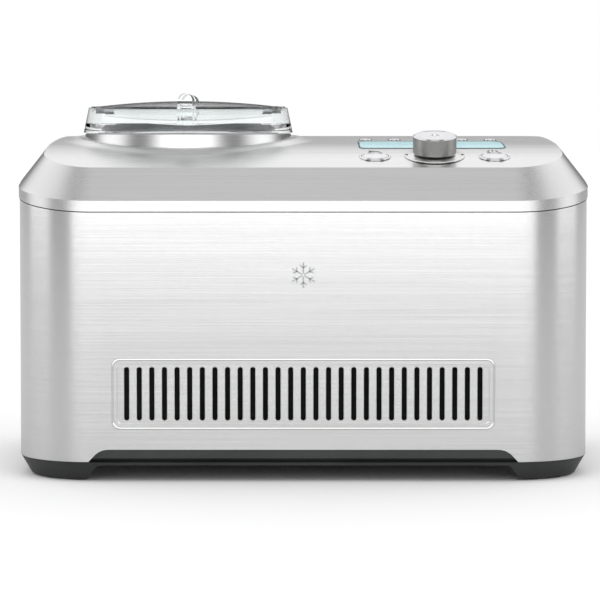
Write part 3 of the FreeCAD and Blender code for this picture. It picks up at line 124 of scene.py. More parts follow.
def lathe(bm, profile, matrix, segments=96):
    """Spins a closed profile of (radius, height) about Z and places the result."""
    rings = []
    for turn in range(segments):
        angle = 2 * math.pi * turn / segments
        spot = Vector((math.cos(angle), math.sin(angle), 0))
        rings.append([bm.verts.new(matrix @ (spot * r + Vector((0, 0, h)))) for r, h in profile])
    for turn in range(segments):
        near, far = rings[turn], rings[(turn + 1) % segments]
        for n in range(len(profile)):
            m = (n + 1) % len(profile)
            if profile[n][0] < 1e-7 and profile[m][0] < 1e-7:
                continue
            bm.faces.new((near[n], far[n], far[m], near[m]))
    bmesh.ops.remove_doubles(bm, verts=bm.verts, dist=1e-7)


def extruded(bm, outline, low, high, matrix):
    """A flat outline given a thickness."""
    bottom = [bm.verts.new(matrix @ Vector((x, y, low))) for x, y in outline]
    top = [bm.verts.new(matrix @ Vector((x, y, high))) for x, y in outline]
    bm.faces.new(list(reversed(bottom)))
    bm.faces.new(top)
    for n in range(len(outline)):
        m = (n + 1) % len(outline)
        bm.faces.new((bottom[n], bottom[m], top[m], top[n]))


def rounded_outline(half_x, half_y, radius, steps=8):
    """Points round a rounded rectangle, anticlockwise."""
    points = []
    for cx, cy, start in ((1, 1, 0), (-1, 1, 90), (-1, -1, 180), (1, -1, 270)):
        centre = (cx * (half_x - radius), cy * (half_y - radius))
        points += arc_points(centre, radius, start, start + 90, steps)
    return points


def swept_ring(bm, sections):
    """Joins closed sections, each a list of points, into a closed ring."""
    rows = [[bm.verts.new(p) for p in section] for section in sections]
    for n, row in enumerate(rows):
        following = rows[(n + 1) % len(rows)]
        for m in range(len(row)):
            k = (m + 1) % len(row)
            bm.faces.new((row[m], following[m], following[k], row[k]))


# ---------------------------------------------------------------- shader groups


def group_socket(group, name, kind, default=None, output=False):
    socket = group.interface.new_socket(name=name, in_out="OUTPUT" if output else "INPUT",
                                        socket_type="NodeSocket" + kind)
    if default is not None:
        socket.default_value = default
    return socket


def new_group(name, inputs, outputs):
    group = bpy.data.node_groups.new(name, "ShaderNodeTree")
    for label, kind, default in inputs:
        group_socket(group, label, kind, default)
    for label, kind in outputs:
        group_socket(group, label, kind, output=True)
    return group, group.nodes.new("NodeGroupInput"), group.nodes.new("NodeGroupOutput")


def add(tree, kind, **values):
    """A node with its properties set; in_N sets the default of input N."""
    node = tree.nodes.new(kind)
    for key, value in values.items():
        if key.startswith("in_"):
            node.inputs[int(key[3:])].default_value = value
        else:
            setattr(node, key, value)
    return node


def noise(tree, vector, scale, detail=2.0, roughness=0.5):
    node = add(tree, "ShaderNodeTexNoise")
    node.inputs["Detail"].default_value = detail
    node.inputs["Roughness"].default_value = roughness
    tree.links.new(vector, node.inputs["Vector"])
    if isinstance(scale, (int, float)):
        node.inputs["Scale"].default_value = scale
    else:
        tree.links.new(scale, node.inputs["Scale"])
    return node.outputs["Fac"]


def brushed_group():
    """Fine parallel scratches: a grain value and a slow cloud."""
    group, first, last = new_group("brushed_grain", [("Stretch", "Vector", (6.0, 6.0, 900.0)),
                                                     ("Cloud", "Float", 9.0)],
                                   [("Grain", "Float"), ("Cloud", "Float")])
    place = add(group, "ShaderNodeTexCoord")
    stretch = add(group, "ShaderNodeVectorMath", operation="MULTIPLY")
    group.links.new(place.outputs["Object"], stretch.inputs[0])
    group.links.new(first.outputs["Stretch"], stretch.inputs[1])
    group.links.new(noise(group, stretch.outputs[0], 1.0, 3.0, 0.62), last.inputs["Grain"])
    group.links.new(noise(group, place.outputs["Object"], first.outputs["Cloud"]), last.inputs["Cloud"])
    return group


def spun_group():
    """Scratches in circles about an axis through a centre, which Object coordinates are moved to first."""
    group, first, last = new_group("spun_grain", [("Centre", "Vector", (0.0, 0.0, 0.0)),
                                                  ("Rings", "Float", 2500.0)], [("Grain", "Float")])
    place = add(group, "ShaderNodeTexCoord")
    moved = add(group, "ShaderNodeVectorMath", operation="SUBTRACT")
    group.links.new(place.outputs["Object"], moved.inputs[0])
    group.links.new(first.outputs["Centre"], moved.inputs[1])
    radius = add(group, "ShaderNodeVectorMath", operation="LENGTH")
    group.links.new(moved.outputs[0], radius.inputs[0])
    line = add(group, "ShaderNodeCombineXYZ")
    group.links.new(radius.outputs["Value"], line.inputs["X"])
    group.links.new(noise(group, line.outputs[0], first.outputs["Rings"], 3.0, 0.6), last.inputs["Grain"])
    return group


def speckle_group():
    """Moulded plastic or cast metal: a fine grain, with a slow change in shade."""
    group, first, last = new_group("moulded_grain", [("Scale", "Float", 900.0), ("Cloud", "Float", 20.0)],
                                   [("Grain", "Float"), ("Cloud", "Float")])
    place = add(group, "ShaderNodeTexCoord")
    for output in ("Scale", "Cloud"):
        value = noise(group, place.outputs["Object"], first.outputs[output])
        group.links.new(value, last.inputs["Grain" if output == "Scale" else "Cloud"])
    return group


def edge_highlight_group():
    """Painted highlight: a mask that is high on outward edges, in patches."""
    group, first, last = new_group("painted_edge_highlight", [("Strength", "Float", 0.5)], [("Mask", "Float")])
    geometry = add(group, "ShaderNodeNewGeometry")
    edge = add(group, "ShaderNodeMapRange", in_1=0.52, in_2=0.62)
    group.links.new(geometry.outputs["Pointiness"], edge.inputs[0])
    place = add(group, "ShaderNodeTexCoord")
    patch = add(group, "ShaderNodeMath", operation="MULTIPLY")
    group.links.new(edge.outputs[0], patch.inputs[0])
    group.links.new(noise(group, place.outputs["Object"], 220.0), patch.inputs[1])
    strength = add(group, "ShaderNodeMath", operation="MULTIPLY", use_clamp=True)
    group.links.new(patch.outputs[0], strength.inputs[0])
    group.links.new(first.outputs["Strength"], strength.inputs[1])
    group.links.new(strength.outputs[0], last.inputs["Mask"])
    return group


BRUSHED, SPUN, SPECKLE, EDGE_HIGHLIGHT = brushed_group(), spun_group(), speckle_group(), edge_highlight_group()


# ---------------------------------------------------------------- materials


def blank(name):
    material = bpy.data.materials.new(name)
    material.use_nodes = True
    return material, material.node_tree, material.node_tree.nodes["Principled BSDF"]


def place_group(tree, group, **values):
    node = tree.nodes.new("ShaderNodeGroup")
    node.node_tree = group
    for key, value in values.items():
        node.inputs[key].default_value = value
    return node


def spread(tree, source, low, high, from_low=0.3, from_high=0.7):
    """Maps a noise value onto a range."""
    node = add(tree, "ShaderNodeMapRange", in_1=from_low, in_2=from_high, in_3=low, in_4=high)
    tree.links.new(source, node.inputs[0])
    return node.outputs[0]


def shade(tree, factor, dark, light):
    node = add(tree, "ShaderNodeMix", data_type="RGBA")
    sockets = {s.identifier: s for s in node.inputs}
    for key, colour in (("A_Color", dark), ("B_Color", light)):
        if isinstance(colour, bpy.types.NodeSocket):
            tree.links.new(colour, sockets[key])
        else:
            sockets[key].default_value = (*colour, 1)
    tree.links.new(factor, sockets["Factor_Float"])
    return {s.identifier: s for s in node.outputs}["Result_Color"]


def bump(tree, shader, height, strength, distance=0.0002):
    node = add(tree, "ShaderNodeBump")
    node.inputs["Strength"].default_value = strength
    node.inputs["Distance"].default_value = distance
    tree.links.new(height, node.inputs["Height"])
    tree.links.new(node.outputs["Normal"], shader.inputs["Normal"])


def metal(name, dark, light, stretch=(5, 5, 2200), rough=(0.26, 0.34), strength=0.04, centre=None,
          rings=2500.0):
    """Metal with fine straight or spun scratches, a slow change of shade and a painted highlight on outward
    edges.
    """
    material, tree, shader = blank(name)
    shader.inputs["Metallic"].default_value = 1.0
    if centre is None:
        node = place_group(tree, BRUSHED, Stretch=stretch)
        broad = node.outputs["Cloud"]
    else:
        node = place_group(tree, SPUN, Centre=centre, Rings=rings)
        broad = place_group(tree, SPECKLE).outputs["Cloud"]
    grain = node.outputs["Grain"]
    tree.links.new(spread(tree, grain, *rough), shader.inputs["Roughness"])
    tone = shade(tree, spread(tree, grain, 0, 1), dark, light)
    cloudy = shade(tree, spread(tree, broad, 0.0, 0.06), tone, dark)
    # painted highlight: outward edges lightened past the light steel tone, in patches
    edge_lit = shade(tree, place_group(tree, EDGE_HIGHLIGHT).outputs["Mask"], cloudy, [min(1, c * 1.15) for c in light])
    tree.links.new(edge_lit, shader.inputs["Base Color"])
    bump(tree, shader, grain, strength)
    return material


def plastic(name, dark, light, rough, scale=900.0, strength=0.12, distance=0.0002, coat=0.0, shine=0.5):
    """Moulded or painted skin with a fine texture and a painted highlight on outward edges."""
    material, tree, shader = blank(name)
    grain = place_group(tree, SPECKLE, Scale=scale, Cloud=25.0)
    shader.inputs["Coat Weight"].default_value = coat
    shader.inputs["Specular IOR Level"].default_value = shine
    tree.links.new(spread(tree, grain.outputs["Grain"], *rough), shader.inputs["Roughness"])
    tone = shade(tree, spread(tree, grain.outputs["Cloud"], 0, 1), dark, light)
    # painted highlight: outward edges lightened well past the light tone, in patches
    edge_lit = shade(tree, place_group(tree, EDGE_HIGHLIGHT, Strength=0.4).outputs["Mask"], tone,
                 [min(1, c * 1.5 + 0.01) for c in light])
    tree.links.new(edge_lit, shader.inputs["Base Color"])
    bump(tree, shader, grain.outputs["Grain"], strength, distance)
    return material


def clear_plastic(name, tint, rough):
    material, tree, shader = blank(name)
    grain = place_group(tree, SPECKLE, Scale=60.0, Cloud=12.0)
    shader.inputs["Transmission Weight"].default_value = 1.0
    shader.inputs["IOR"].default_value = 1.36
    tree.links.new(spread(tree, grain.outputs["Grain"], *rough), shader.inputs["Roughness"])
    tone = shade(tree, spread(tree, grain.outputs["Cloud"], 0, 1), [c * 0.985 for c in tint], tint)
    # painted shade: a darker teal where the surface turns away from view, standing in for the dark outlines
    # of the clear parts
    slant = add(tree, "ShaderNodeLayerWeight")
    slant.inputs["Blend"].default_value = 0.25
    edge = shade(tree, spread(tree, slant.outputs["Facing"], 0, 1, 0.7, 1.0), tone, (0.45, 0.58, 0.57))
    tree.links.new(edge, shader.inputs["Base Color"])
    return material


def display_material():
    """A lit pale panel with rows of unlit segments."""
    material, tree, shader = blank("display")
    place = add(tree, "ShaderNodeTexCoord")
    cells = add(tree, "ShaderNodeTexBrick")
    cells.inputs["Scale"].default_value = 1.0
    cells.inputs["Brick Width"].default_value = 0.0085
    cells.inputs["Row Height"].default_value = 0.011
    cells.inputs["Mortar Size"].default_value = 0.0007
    cells.inputs["Color1"].default_value = (0.0, 0.0, 0.0, 1)
    cells.inputs["Color2"].default_value = (0.35, 0.35, 0.35, 1)
    cells.inputs["Mortar"].default_value = (0.0, 0.0, 0.0, 1)
    tree.links.new(place.outputs["Object"], cells.inputs["Vector"])
    cloud = noise(tree, place.outputs["Object"], 30.0)
    glow = shade(tree, spread(tree, cloud, 0, 1), (0.4, 0.62, 0.66), (0.48, 0.7, 0.74))
    tone = shade(tree, cells.outputs["Color"], glow, (0.25, 0.47, 0.52))
    tree.links.new(tone, shader.inputs["Base Color"])
    tree.links.new(tone, shader.inputs["Emission Color"])
    shader.inputs["Emission Strength"].default_value = 0.3
    shader.inputs["Roughness"].default_value = 0.25
    return material


STEEL_DARK, STEEL_LIGHT = (0.70, 0.705, 0.7), (0.78, 0.785, 0.78)
MATERIALS = {
    "wrap_steel": metal("wrap_steel", STEEL_DARK, STEEL_LIGHT, rough=(0.18, 0.24)),
    "cover_steel": metal("cover_steel", STEEL_DARK, STEEL_LIGHT, (5, 2200, 2200)),
    "collar_steel": metal("collar_steel", STEEL_DARK, STEEL_LIGHT, (5, 5, 2200), (0.31, 0.37)),
    "rim_steel": metal("rim_steel", STEEL_DARK, STEEL_LIGHT, (5, 5, 2200), (0.1, 0.16)),
    "rear_steel": metal("rear_steel", (0.5, 0.5, 0.51), (0.62, 0.62, 0.63), (6, 6, 900), (0.35, 0.45)),
    "chrome": metal("chrome", (0.7, 0.7, 0.72), (0.78, 0.78, 0.8), (300, 300, 300), (0.05, 0.1), 0.01),
    "dial_side": metal("dial_side", (0.3, 0.3, 0.29), (0.42, 0.42, 0.41), (2500, 2500, 30), (0.3, 0.42)),
    "dial_top": metal("dial_top", (0.6, 0.6, 0.6), (0.74, 0.74, 0.74), rough=(0.08, 0.14), strength=0.03,
                      centre=tuple(DIAL_BASE + DIAL_AXIS * 15 * MM)),
    "emblem": metal("emblem", (0.34, 0.34, 0.35), (0.44, 0.44, 0.45), (300, 300, 300), (0.3, 0.4)),
    "plated": metal("plated", (0.5, 0.5, 0.52), (0.62, 0.62, 0.64), (200, 200, 40), (0.25, 0.4)),
    "aluminium": metal("aluminium", (0.66, 0.67, 0.68), (0.78, 0.79, 0.8), (20, 20, 600), (0.25, 0.4)),
    "copper": metal("copper", (0.62, 0.3, 0.18), (0.75, 0.42, 0.28), (120, 120, 120), (0.2, 0.35)),
    "bronze": metal("bronze", (0.5, 0.32, 0.14), (0.62, 0.42, 0.2), (300, 300, 300), (0.35, 0.5)),
    "base_plastic": plastic("base_plastic", (0.02, 0.021, 0.022), (0.03, 0.031, 0.032), (0.38, 0.52)),
    "filter_mesh": plastic("filter_mesh", (0.003, 0.003, 0.003), (0.008, 0.008, 0.008), (0.7, 0.9),
                           500.0, 0.5, shine=0.0),
    "ink": plastic("ink", (0.06, 0.06, 0.06), (0.09, 0.09, 0.09), (0.5, 0.6)),
    "rubber": plastic("rubber", (0.012, 0.012, 0.012), (0.02, 0.02, 0.02), (0.7, 0.85), 700.0, 0.3),
    "board": plastic("board", (0.01, 0.09, 0.035), (0.02, 0.16, 0.06), (0.3, 0.45), 300.0, 0.1, coat=0.3),
    "foam": plastic("foam", (0.66, 0.58, 0.36), (0.78, 0.7, 0.48), (0.75, 0.95), 250.0, 0.8, 0.001),
    "enamel": plastic("enamel", (0.008, 0.008, 0.009), (0.014, 0.014, 0.015), (0.12, 0.2), 120.0, 0.05,
                      coat=0.5),
    "fan_plastic": plastic("fan_plastic", (0.02, 0.02, 0.022), (0.03, 0.03, 0.033), (0.35, 0.5), 600.0, 0.1),
    "paddle_plastic": plastic("paddle_plastic", (0.72, 0.74, 0.74), (0.8, 0.82, 0.82), (0.25, 0.35), 500.0,
                              0.05),
    "silicone": plastic("silicone", (0.5, 0.53, 0.54), (0.6, 0.63, 0.64), (0.4, 0.55), 500.0, 0.1),
    "display": display_material(),
    "display_rim": plastic("display_rim", (0.03, 0.07, 0.08), (0.05, 0.1, 0.11), (0.2, 0.3)),
    "clear": clear_plastic("clear", (0.975, 0.993, 0.993), (0.01, 0.03)),
}

NODE_MATERIALS = {
    "wrap_steel": ["body_wrap"],
    "cover_steel": ["top_cover"],
    "rear_steel": ["rear_panel", "fan_shroud", "drive_bracket"],
    "chrome": ["rear_screws", "button_bezels", "bowl_handle"],
    "plated": ["dial_encoder", "dial_shaft", "drive_motor", "motor_shaft", "drive_spindle",
               "board_standoffs", "handle_pivots", "flap_pins"],
    "aluminium": ["evaporator_well", "condenser", "motor_pulley", "ice_bowl"],
    "copper": ["evaporator_coil", "filter_drier", "discharge_pipe", "suction_pipe"],
    "bronze": ["spindle_bush"],
    "base_plastic": ["base_tray", "cord_gland", "board_posts", "tact_switches", "fan_motor", "drive_pulley"],
    "filter_mesh": ["air_filter"],
    "rubber": ["foot_pads", "compressor_grommets", "drive_belt"],
    "board": ["control_board", "power_board"],
    "foam": ["insulation_foam"],
    "enamel": ["compressor"],
    "fan_plastic": ["fan_rotor"],
    "paddle_plastic": ["paddle"],
    "silicone": ["lid_seal", "shaft_seal"],
    "display": ["lcd_module"],
    "clear": ["lid_base", "lid_flap"],
}

for material_name, nodes in NODE_MATERIALS.items():
    for node_name in nodes:
        data = frame["nodes"][node_name].data
        data.materials.clear()
        data.materials.append(MATERIALS[material_name])


# ---------------------------------------------------------------- casing trim


def make_collar():
    """Upright ring with a rolled lip, and a soft mound that runs out onto the sloping deck."""
    ring, inner, mound = 76.5 * MM, 69.0 * MM, 92.5 * MM
    lip = 1.2 * MM
    bm = bmesh.new()
    sections = []
    for n in range(160):
        angle = 2 * math.pi * n / 160
        out = Vector((math.cos(angle), math.sin(angle), 0))
        foot = Vector((BOWL_AXIS, 0, 0)) + out * mound
        edge_level = deck_at(foot.x, foot.y)[0]
        near = Vector((BOWL_AXIS, 0, 0)) + out * ring
        near_level = deck_at(near.x, near.y)[0]
        crest = (1.8 + 1.2 * math.cos(angle) ** 2) * MM
        profile = [(inner, COLLAR_TOP - 8 * MM), (inner, COLLAR_TOP - lip)]
        profile += arc_points((inner + lip, COLLAR_TOP - lip), lip, 180, 90, 4)[1:]
        profile += arc_points((ring - lip, COLLAR_TOP - lip), lip, 90, 0, 6)
        valley = near_level + 0.5 * MM
        profile.append((ring, min(valley + 2 * MM, COLLAR_TOP - 2 * MM)))
        profile.append((ring + 0.3 * MM, min(valley + 0.6 * MM, COLLAR_TOP - 2.3 * MM)))
        steps = 14
        for k in range(steps + 1):
            share = k / steps
            radius = ring + 0.9 * MM + (mound - ring - 0.9 * MM) * share
            spot = Vector((BOWL_AXIS, 0, 0)) + out * radius
            level = deck_at(spot.x, spot.y)[0]
            rise = 0.45 + 0.55 * math.sin(math.pi / 2 * share / 0.3) if share < 0.3 else \
                0.5 + 0.5 * math.cos(math.pi * (share - 0.3) / 0.7)
            profile.append((radius, level + crest * rise + 0.04 * MM))
        profile.append((mound, edge_level - 0.8 * MM))
        profile.append((ring, near_level - 0.8 * MM))
        sections.append([Vector((BOWL_AXIS + out.x * r, out.y * r, z)) for r, z in profile])
    swept_ring(bm, sections)
    finish("collar", bm, "collar_steel", "casing", ["collar_ring"], sharp=50)


def seam_points(inset, step=2.5 * MM):
    """Points round the case under the cover's lip, each with its outward direction and the lip's level."""
    radius = 55 * MM
    corner_x, corner_y = CASE_X - radius, CASE_Y - radius
    points = []
    for cx, cy, start in ((1, 1, 0), (-1, 1, 90), (-1, -1, 180), (1, -1, 270)):
        for n in range(25):
            angle = math.radians(start + 90 * n / 24)
            out = Vector((math.cos(angle), math.sin(angle), 0))
            points.append((Vector((cx * corner_x, cy * corner_y, 0)) + out * (radius - inset), out))
    filled = []
    for n, (place, out) in enumerate(points):
        after, _ = points[(n + 1) % len(points)]
        count = max(1, int((after - place).length / (step * 4)))
        for k in range(count):
            filled.append((place.lerp(after, k / count), out))
    result = []
    for place, out in filled:
        hit, _, _, _ = COVER.ray_cast(Vector((place.x, place.y, 0.15)), Vector((0, 0, 1)))
        result.append((place, out, hit.z))
    return result


def make_seam_shadow():
    """Painted shadow: a dark strip under the cover's lip, where the seam has only shade, so that it shows as
    a line.
    """
    bm = bmesh.new()
    sections = []
    inset, proud, depth, tall = 0.3 * MM, 0.12 * MM, 0.5 * MM, 0.85 * MM
    for place, out, level in seam_points(inset):
        outer, inner = place - out * proud, place - out * depth
        sections.append([outer.xy.to_3d() + Vector((0, 0, level - 0.01 * MM)),
                         outer.xy.to_3d() + Vector((0, 0, level - tall)),
                         inner.xy.to_3d() + Vector((0, 0, level - tall)),
                         inner.xy.to_3d() + Vector((0, 0, level - 0.01 * MM))])
    swept_ring(bm, sections)
    # the rubber finish gives the painted shadow its dark colour
    finish("seam_shadow_strip", bm, "rubber", "casing")


def frame_band(bm, half_x, half_y, radius, profile, matrix):
    """A rounded rectangular frame: the profile gives (outward growth, height) round the outline."""
    rows = []
    for growth, height in profile:
        rows.append([matrix @ Vector((x, y, height)) for x, y in
                     rounded_outline(half_x + growth, half_y + growth, radius + growth, 10)])
    swept_ring(bm, [list(column) for column in zip(*rows)])


GRILLE_X, GRILLE_LOW, GRILLE_HIGH = 132.7 * MM, 37.0 * MM, 85.6 * MM
SLOT_COUNT, SLOT_PITCH, SLOT_WIDTH = 29, 8.76 * MM, 3.6 * MM
SLOT_LOW, SLOT_HIGH = 42.6 * MM, 80.2 * MM
WRAP_FACE = -(CASE_Y - 0.7 * MM)
FACING = Matrix(((1, 0, 0), (0, 0, -1), (0, 1, 0))).to_4x4()


def on_front(x, z, y=WRAP_FACE):
    """A frame on the front face: X along it, Y upwards and Z out towards the viewer."""
    return Matrix.Translation((x, y, z)) @ FACING


def make_grille_frame():
    """Pressed rim of the grille: a rounded step down into the recess."""
    bm = bmesh.new()
    centre = (GRILLE_LOW + GRILLE_HIGH) / 2
    half = (GRILLE_HIGH - GRILLE_LOW) / 2
    border = 3.4 * MM
    profile = [(0.5 * MM, -0.3 * MM), (0.5 * MM, 0.02 * MM), (0.15 * MM, 0.2 * MM), (-0.5 * MM, 0.22 * MM),
               (-1.0 * MM, 0.1 * MM), (-2.9 * MM, -1.0 * MM), (-border - 0.4 * MM, -1.3 * MM),
               (-border - 0.4 * MM, -1.7 * MM), (-border + 0.2 * MM, -1.7 * MM), (-1.2 * MM, -0.3 * MM)]
    frame_band(bm, GRILLE_X, half, 5.6 * MM, profile, on_front(0, centre))
    finish("grille_frame", bm, "rim_steel", "casing")


def slot_rim_tree():
    """Rolled rims round a row of round-ended slots."""
    tree = bpy.data.node_groups.new("slot_rims", "GeometryNodeTree")
    tree.interface.new_socket(name="Geometry", in_out="INPUT", socket_type="NodeSocketGeometry")
    for label, kind in (("Count", "Int"), ("Pitch", "Vector"), ("Start", "Vector"), ("Width", "Float"),
                        ("Height", "Float"), ("Bead", "Float"), ("Turn", "Vector"), ("Finish", "Material")):
        tree.interface.new_socket(name=label, in_out="INPUT", socket_type="NodeSocket" + kind)
    tree.interface.new_socket(name="Geometry", in_out="OUTPUT", socket_type="NodeSocketGeometry")
    first, last = tree.nodes.new("NodeGroupInput"), tree.nodes.new("NodeGroupOutput")
    link = tree.links.new
    line = add(tree, "GeometryNodeMeshLine", mode="OFFSET")
    link(first.outputs["Count"], line.inputs["Count"])
    link(first.outputs["Start"], line.inputs["Start Location"])
    link(first.outputs["Pitch"], line.inputs["Offset"])
    outline = add(tree, "GeometryNodeCurvePrimitiveQuadrilateral")
    link(first.outputs["Width"], outline.inputs["Width"])
    link(first.outputs["Height"], outline.inputs["Height"])
    radius = add(tree, "ShaderNodeMath", operation="MULTIPLY", in_1=0.499)
    link(first.outputs["Width"], radius.inputs[0])
    fillet = add(tree, "GeometryNodeFilletCurve", mode="POLY")
    fillet.inputs["Count"].default_value = 5
    link(outline.outputs[0], fillet.inputs["Curve"])
    link(radius.outputs[0], fillet.inputs["Radius"])
    bead = add(tree, "GeometryNodeCurvePrimitiveCircle")
    bead.inputs["Resolution"].default_value = 6
    link(first.outputs["Bead"], bead.inputs["Radius"])
    rim = add(tree, "GeometryNodeCurveToMesh")
    link(fillet.outputs[0], rim.inputs["Curve"])
    link(bead.outputs[0], rim.inputs["Profile Curve"])
    copies = add(tree, "GeometryNodeInstanceOnPoints")
    link(line.outputs[0], copies.inputs["Points"])
    link(rim.outputs[0], copies.inputs["Instance"])
    link(first.outputs["Turn"], copies.inputs["Rotation"])
    real = add(tree, "GeometryNodeRealizeInstances")
    link(copies.outputs[0], real.inputs[0])
    smooth = add(tree, "GeometryNodeSetShadeSmooth")
    link(real.outputs[0], smooth.inputs[0])
    paint = add(tree, "GeometryNodeSetMaterial")
    link(smooth.outputs[0], paint.inputs["Geometry"])
    link(first.outputs["Finish"], paint.inputs["Material"])
    link(paint.outputs[0], last.inputs[0])
    return tree


SLOT_RIMS = slot_rim_tree()


def slot_rims(name, slot, **values):
    """Runs the tree once and keeps its result as a plain mesh."""
    carrier = bpy.data.objects.new(name + "_carrier", bpy.data.meshes.new(name + "_carrier"))
    bpy.context.collection.objects.link(carrier)
    modifier = carrier.modifiers.new("rims", "NODES")
    modifier.node_group = SLOT_RIMS
    names = {item.name: item.identifier for item in SLOT_RIMS.interface.items_tree
             if item.in_out == "INPUT"}
    for key, value in values.items():
        modifier[names[key]] = value
    graph = bpy.context.evaluated_depsgraph_get()
    mesh = bpy.data.meshes.new_from_object(carrier.evaluated_get(graph))
    carrier.modifiers.clear()
    bpy.data.objects.remove(carrier)
    bm = bmesh.new()
    bm.from_mesh(mesh)
    finish(name, bm, values["Finish"].name, "casing", sharp=60)


def make_slot_rims():
    first = -(SLOT_COUNT - 1) / 2 * SLOT_PITCH
    recess = WRAP_FACE + 1.5 * MM
    centre = (SLOT_LOW + SLOT_HIGH) / 2
    ease = 0.2 * MM
    slot_rims("grille_slot_rims", "steel", Count=SLOT_COUNT, Pitch=(SLOT_PITCH, 0, 0),
              Start=(first, recess, centre), Width=SLOT_WIDTH + ease, Height=SLOT_HIGH - SLOT_LOW + ease,
              Bead=0.22 * MM, Turn=(math.pi / 2, 0, 0), Finish=MATERIALS["wrap_steel"])


# ---------------------------------------------------------------- control deck


def make_dial():
    """Straight brushed knob with a bright chamfer and a dished, spun top."""
    lean = Vector((0, 0, 1)).rotation_difference(DIAL_AXIS)
    place = Matrix.Translation(DIAL_BASE) @ lean.to_matrix().to_4x4()
    radius, low, top = 15.4 * MM, 2.6 * MM, 15.2 * MM
    rim, bore = 0.9 * MM, 3.3 * MM
    bm = bmesh.new()
    lathe(bm, [(bore, low), (radius - 0.3 * MM, low), (radius, low + 0.3 * MM), (radius, top - rim),
               (bore, top - rim)], place)
    finish("dial_barrel", bm, "dial_side", "dial", ["dial_knob"])
    bm = bmesh.new()
    seat = top - rim + 0.01 * MM
    lathe(bm, [(bore, seat), (radius, seat), (radius + 0.05 * MM, top - rim * 0.8), (radius - 0.85 * MM, top),
               (radius - 1.5 * MM, top - 0.05 * MM), (radius - 1.7 * MM, top - 0.3 * MM),
               (bore, top - 0.3 * MM)], place)
    finish("dial_bevel", bm, "chrome", "dial")
    bm = bmesh.new()
    dish = [(radius - 1.6 * MM, top - 0.28 * MM)]
    dish += [(radius * 0.9 * (1 - k / 8), top - (0.28 + 0.35 * math.sin(math.pi / 2 * k / 8)) * MM)
             for k in range(1, 9)]
    lathe(bm, dish + [(0, top - 1.0 * MM), (radius - 1.6 * MM, top - 1.0 * MM)], place)
    finish("dial_face", bm, "dial_top", "dial")
    ring = 21.5 * MM
    bm = bmesh.new()
    lathe(bm, [(7.5 * MM, 0.05 * MM), (ring, 0.05 * MM), (ring, 0.5 * MM), (ring - 0.4 * MM, 0.8 * MM),
               (ring - 0.9 * MM, 0.9 * MM), (radius + 1.0 * MM, 1.0 * MM),
               (radius + 0.6 * MM, 1.2 * MM), (7.5 * MM, 1.2 * MM)], place)
    finish("dial_base_ring", bm, "cover_steel", "casing", ["dial_ring"])
    bm = bmesh.new()
    for side in (-1, 1):
        tip = side * (ring - 0.6 * MM)
        root = side * (ring - 2.6 * MM)
        tri = [(tip, 0.2 * MM), (root, 1.6 * MM), (root, -1.2 * MM)]
        extruded(bm, tri if side > 0 else tri[::-1], 1.0 * MM, 1.22 * MM, place)
    finish("dial_arrows", bm, "ink", "casing")


def button_profile(radius, low, top, dish, steps=8):
    """A cap with a rounded rim round a spherical dish."""
    rim = 0.7 * MM
    points = [(0, low), (radius, low), (radius, top - rim)]
    points += arc_points((radius - rim, top - rim), rim, 0, 90, 4)[1:]
    edge = radius - rim * 1.4
    points += [(edge * math.cos(math.pi / 2 * k / steps), top - dish * math.sin(math.pi / 2 * k / steps))
               for k in range(steps + 1)]
    points[-1] = (0, points[-1][1])
    return points


KEYS = {"start_button": ("start_key", True), "power_button": ("power_key", True),
        "cool_button": ("cool_key", False), "churn_button": ("churn_key", False),
        "sound_button": ("sound_key", False), "unit_button": ("unit_key", False)}


LARGE_KEY_Y, SMALL_KEY_Y = -95.5 * MM, 2.5 * MM
LARGE_KEY_RADIUS, SMALL_KEY_RADIUS = 9.6 * MM, 4.4 * MM
LARGE_KEY_TOP, LARGE_KEY_DISH = 1.4 * MM, 2.0 * MM
SMALL_KEY_SHOULDER, SMALL_KEY_CROWN = 0.5 * MM, 1.0 * MM
KEY_FOOT = -4 * MM
MARK_HEIGHT, MARK_BASE = 0.15 * MM, -0.1 * MM
MARKS_Y = LARGE_KEY_Y + 17 * MM
EMBLEM_LEVEL = 144 * MM


def make_keys():
    for node, (body, large) in KEYS.items():
        joint = JOINTS[body.replace("_key", "_press")]
        up = -Vector(joint["axis"]).normalized()
        place = deck_matrix_from(middle(node).x, LARGE_KEY_Y if large else SMALL_KEY_Y, up)
        bm = bmesh.new()
        if large:
            lathe(bm, button_profile(LARGE_KEY_RADIUS, KEY_FOOT, LARGE_KEY_TOP, LARGE_KEY_DISH), place, 64)
        else:
            radius, shoulder, crown = SMALL_KEY_RADIUS, SMALL_KEY_SHOULDER, SMALL_KEY_CROWN
            profile = [(0, KEY_FOOT), (radius, KEY_FOOT), (radius, shoulder)]
            profile += [(radius * math.cos(math.radians(a)), shoulder + crown * math.sin(math.radians(a)))
                        for a in range(15, 90, 15)] + [(0, shoulder + crown)]
            lathe(bm, profile, place, 40)
        finish(node + "_cap", bm, "chrome", body, [node])


def deck_matrix_from(x, y, up):
    """A frame at the deck's level beside a hole, with its Z along a key's travel."""
    level, _ = deck_at(x, y)
    side = Vector((1, 0, 0))
    back = up.cross(side).normalized()
    return Matrix.Translation((x, y, level)) @ Matrix((side, back, up)).transposed().to_4x4()


def make_key_gap_shadows():
    """Painted shadow: a dark ring in the gap round each key, large and small."""
    for node, (body, large) in KEYS.items():
        up = -Vector(JOINTS[body.replace("_key", "_press")]["axis"]).normalized()
        place = deck_matrix_from(middle(node).x, LARGE_KEY_Y if large else SMALL_KEY_Y, up)
        inner, outer = (10.0 * MM, 10.9 * MM) if large else (4.7 * MM, 5.2 * MM)
        bm = bmesh.new()
        lathe(bm, [(inner, -0.6 * MM), (outer, -0.6 * MM), (outer, 0.25 * MM), (inner, 0.25 * MM)], place, 64)
        # the ink finish gives the painted shadow its dark colour
        finish(node + "_gap_shadow", bm, "ink", "casing")


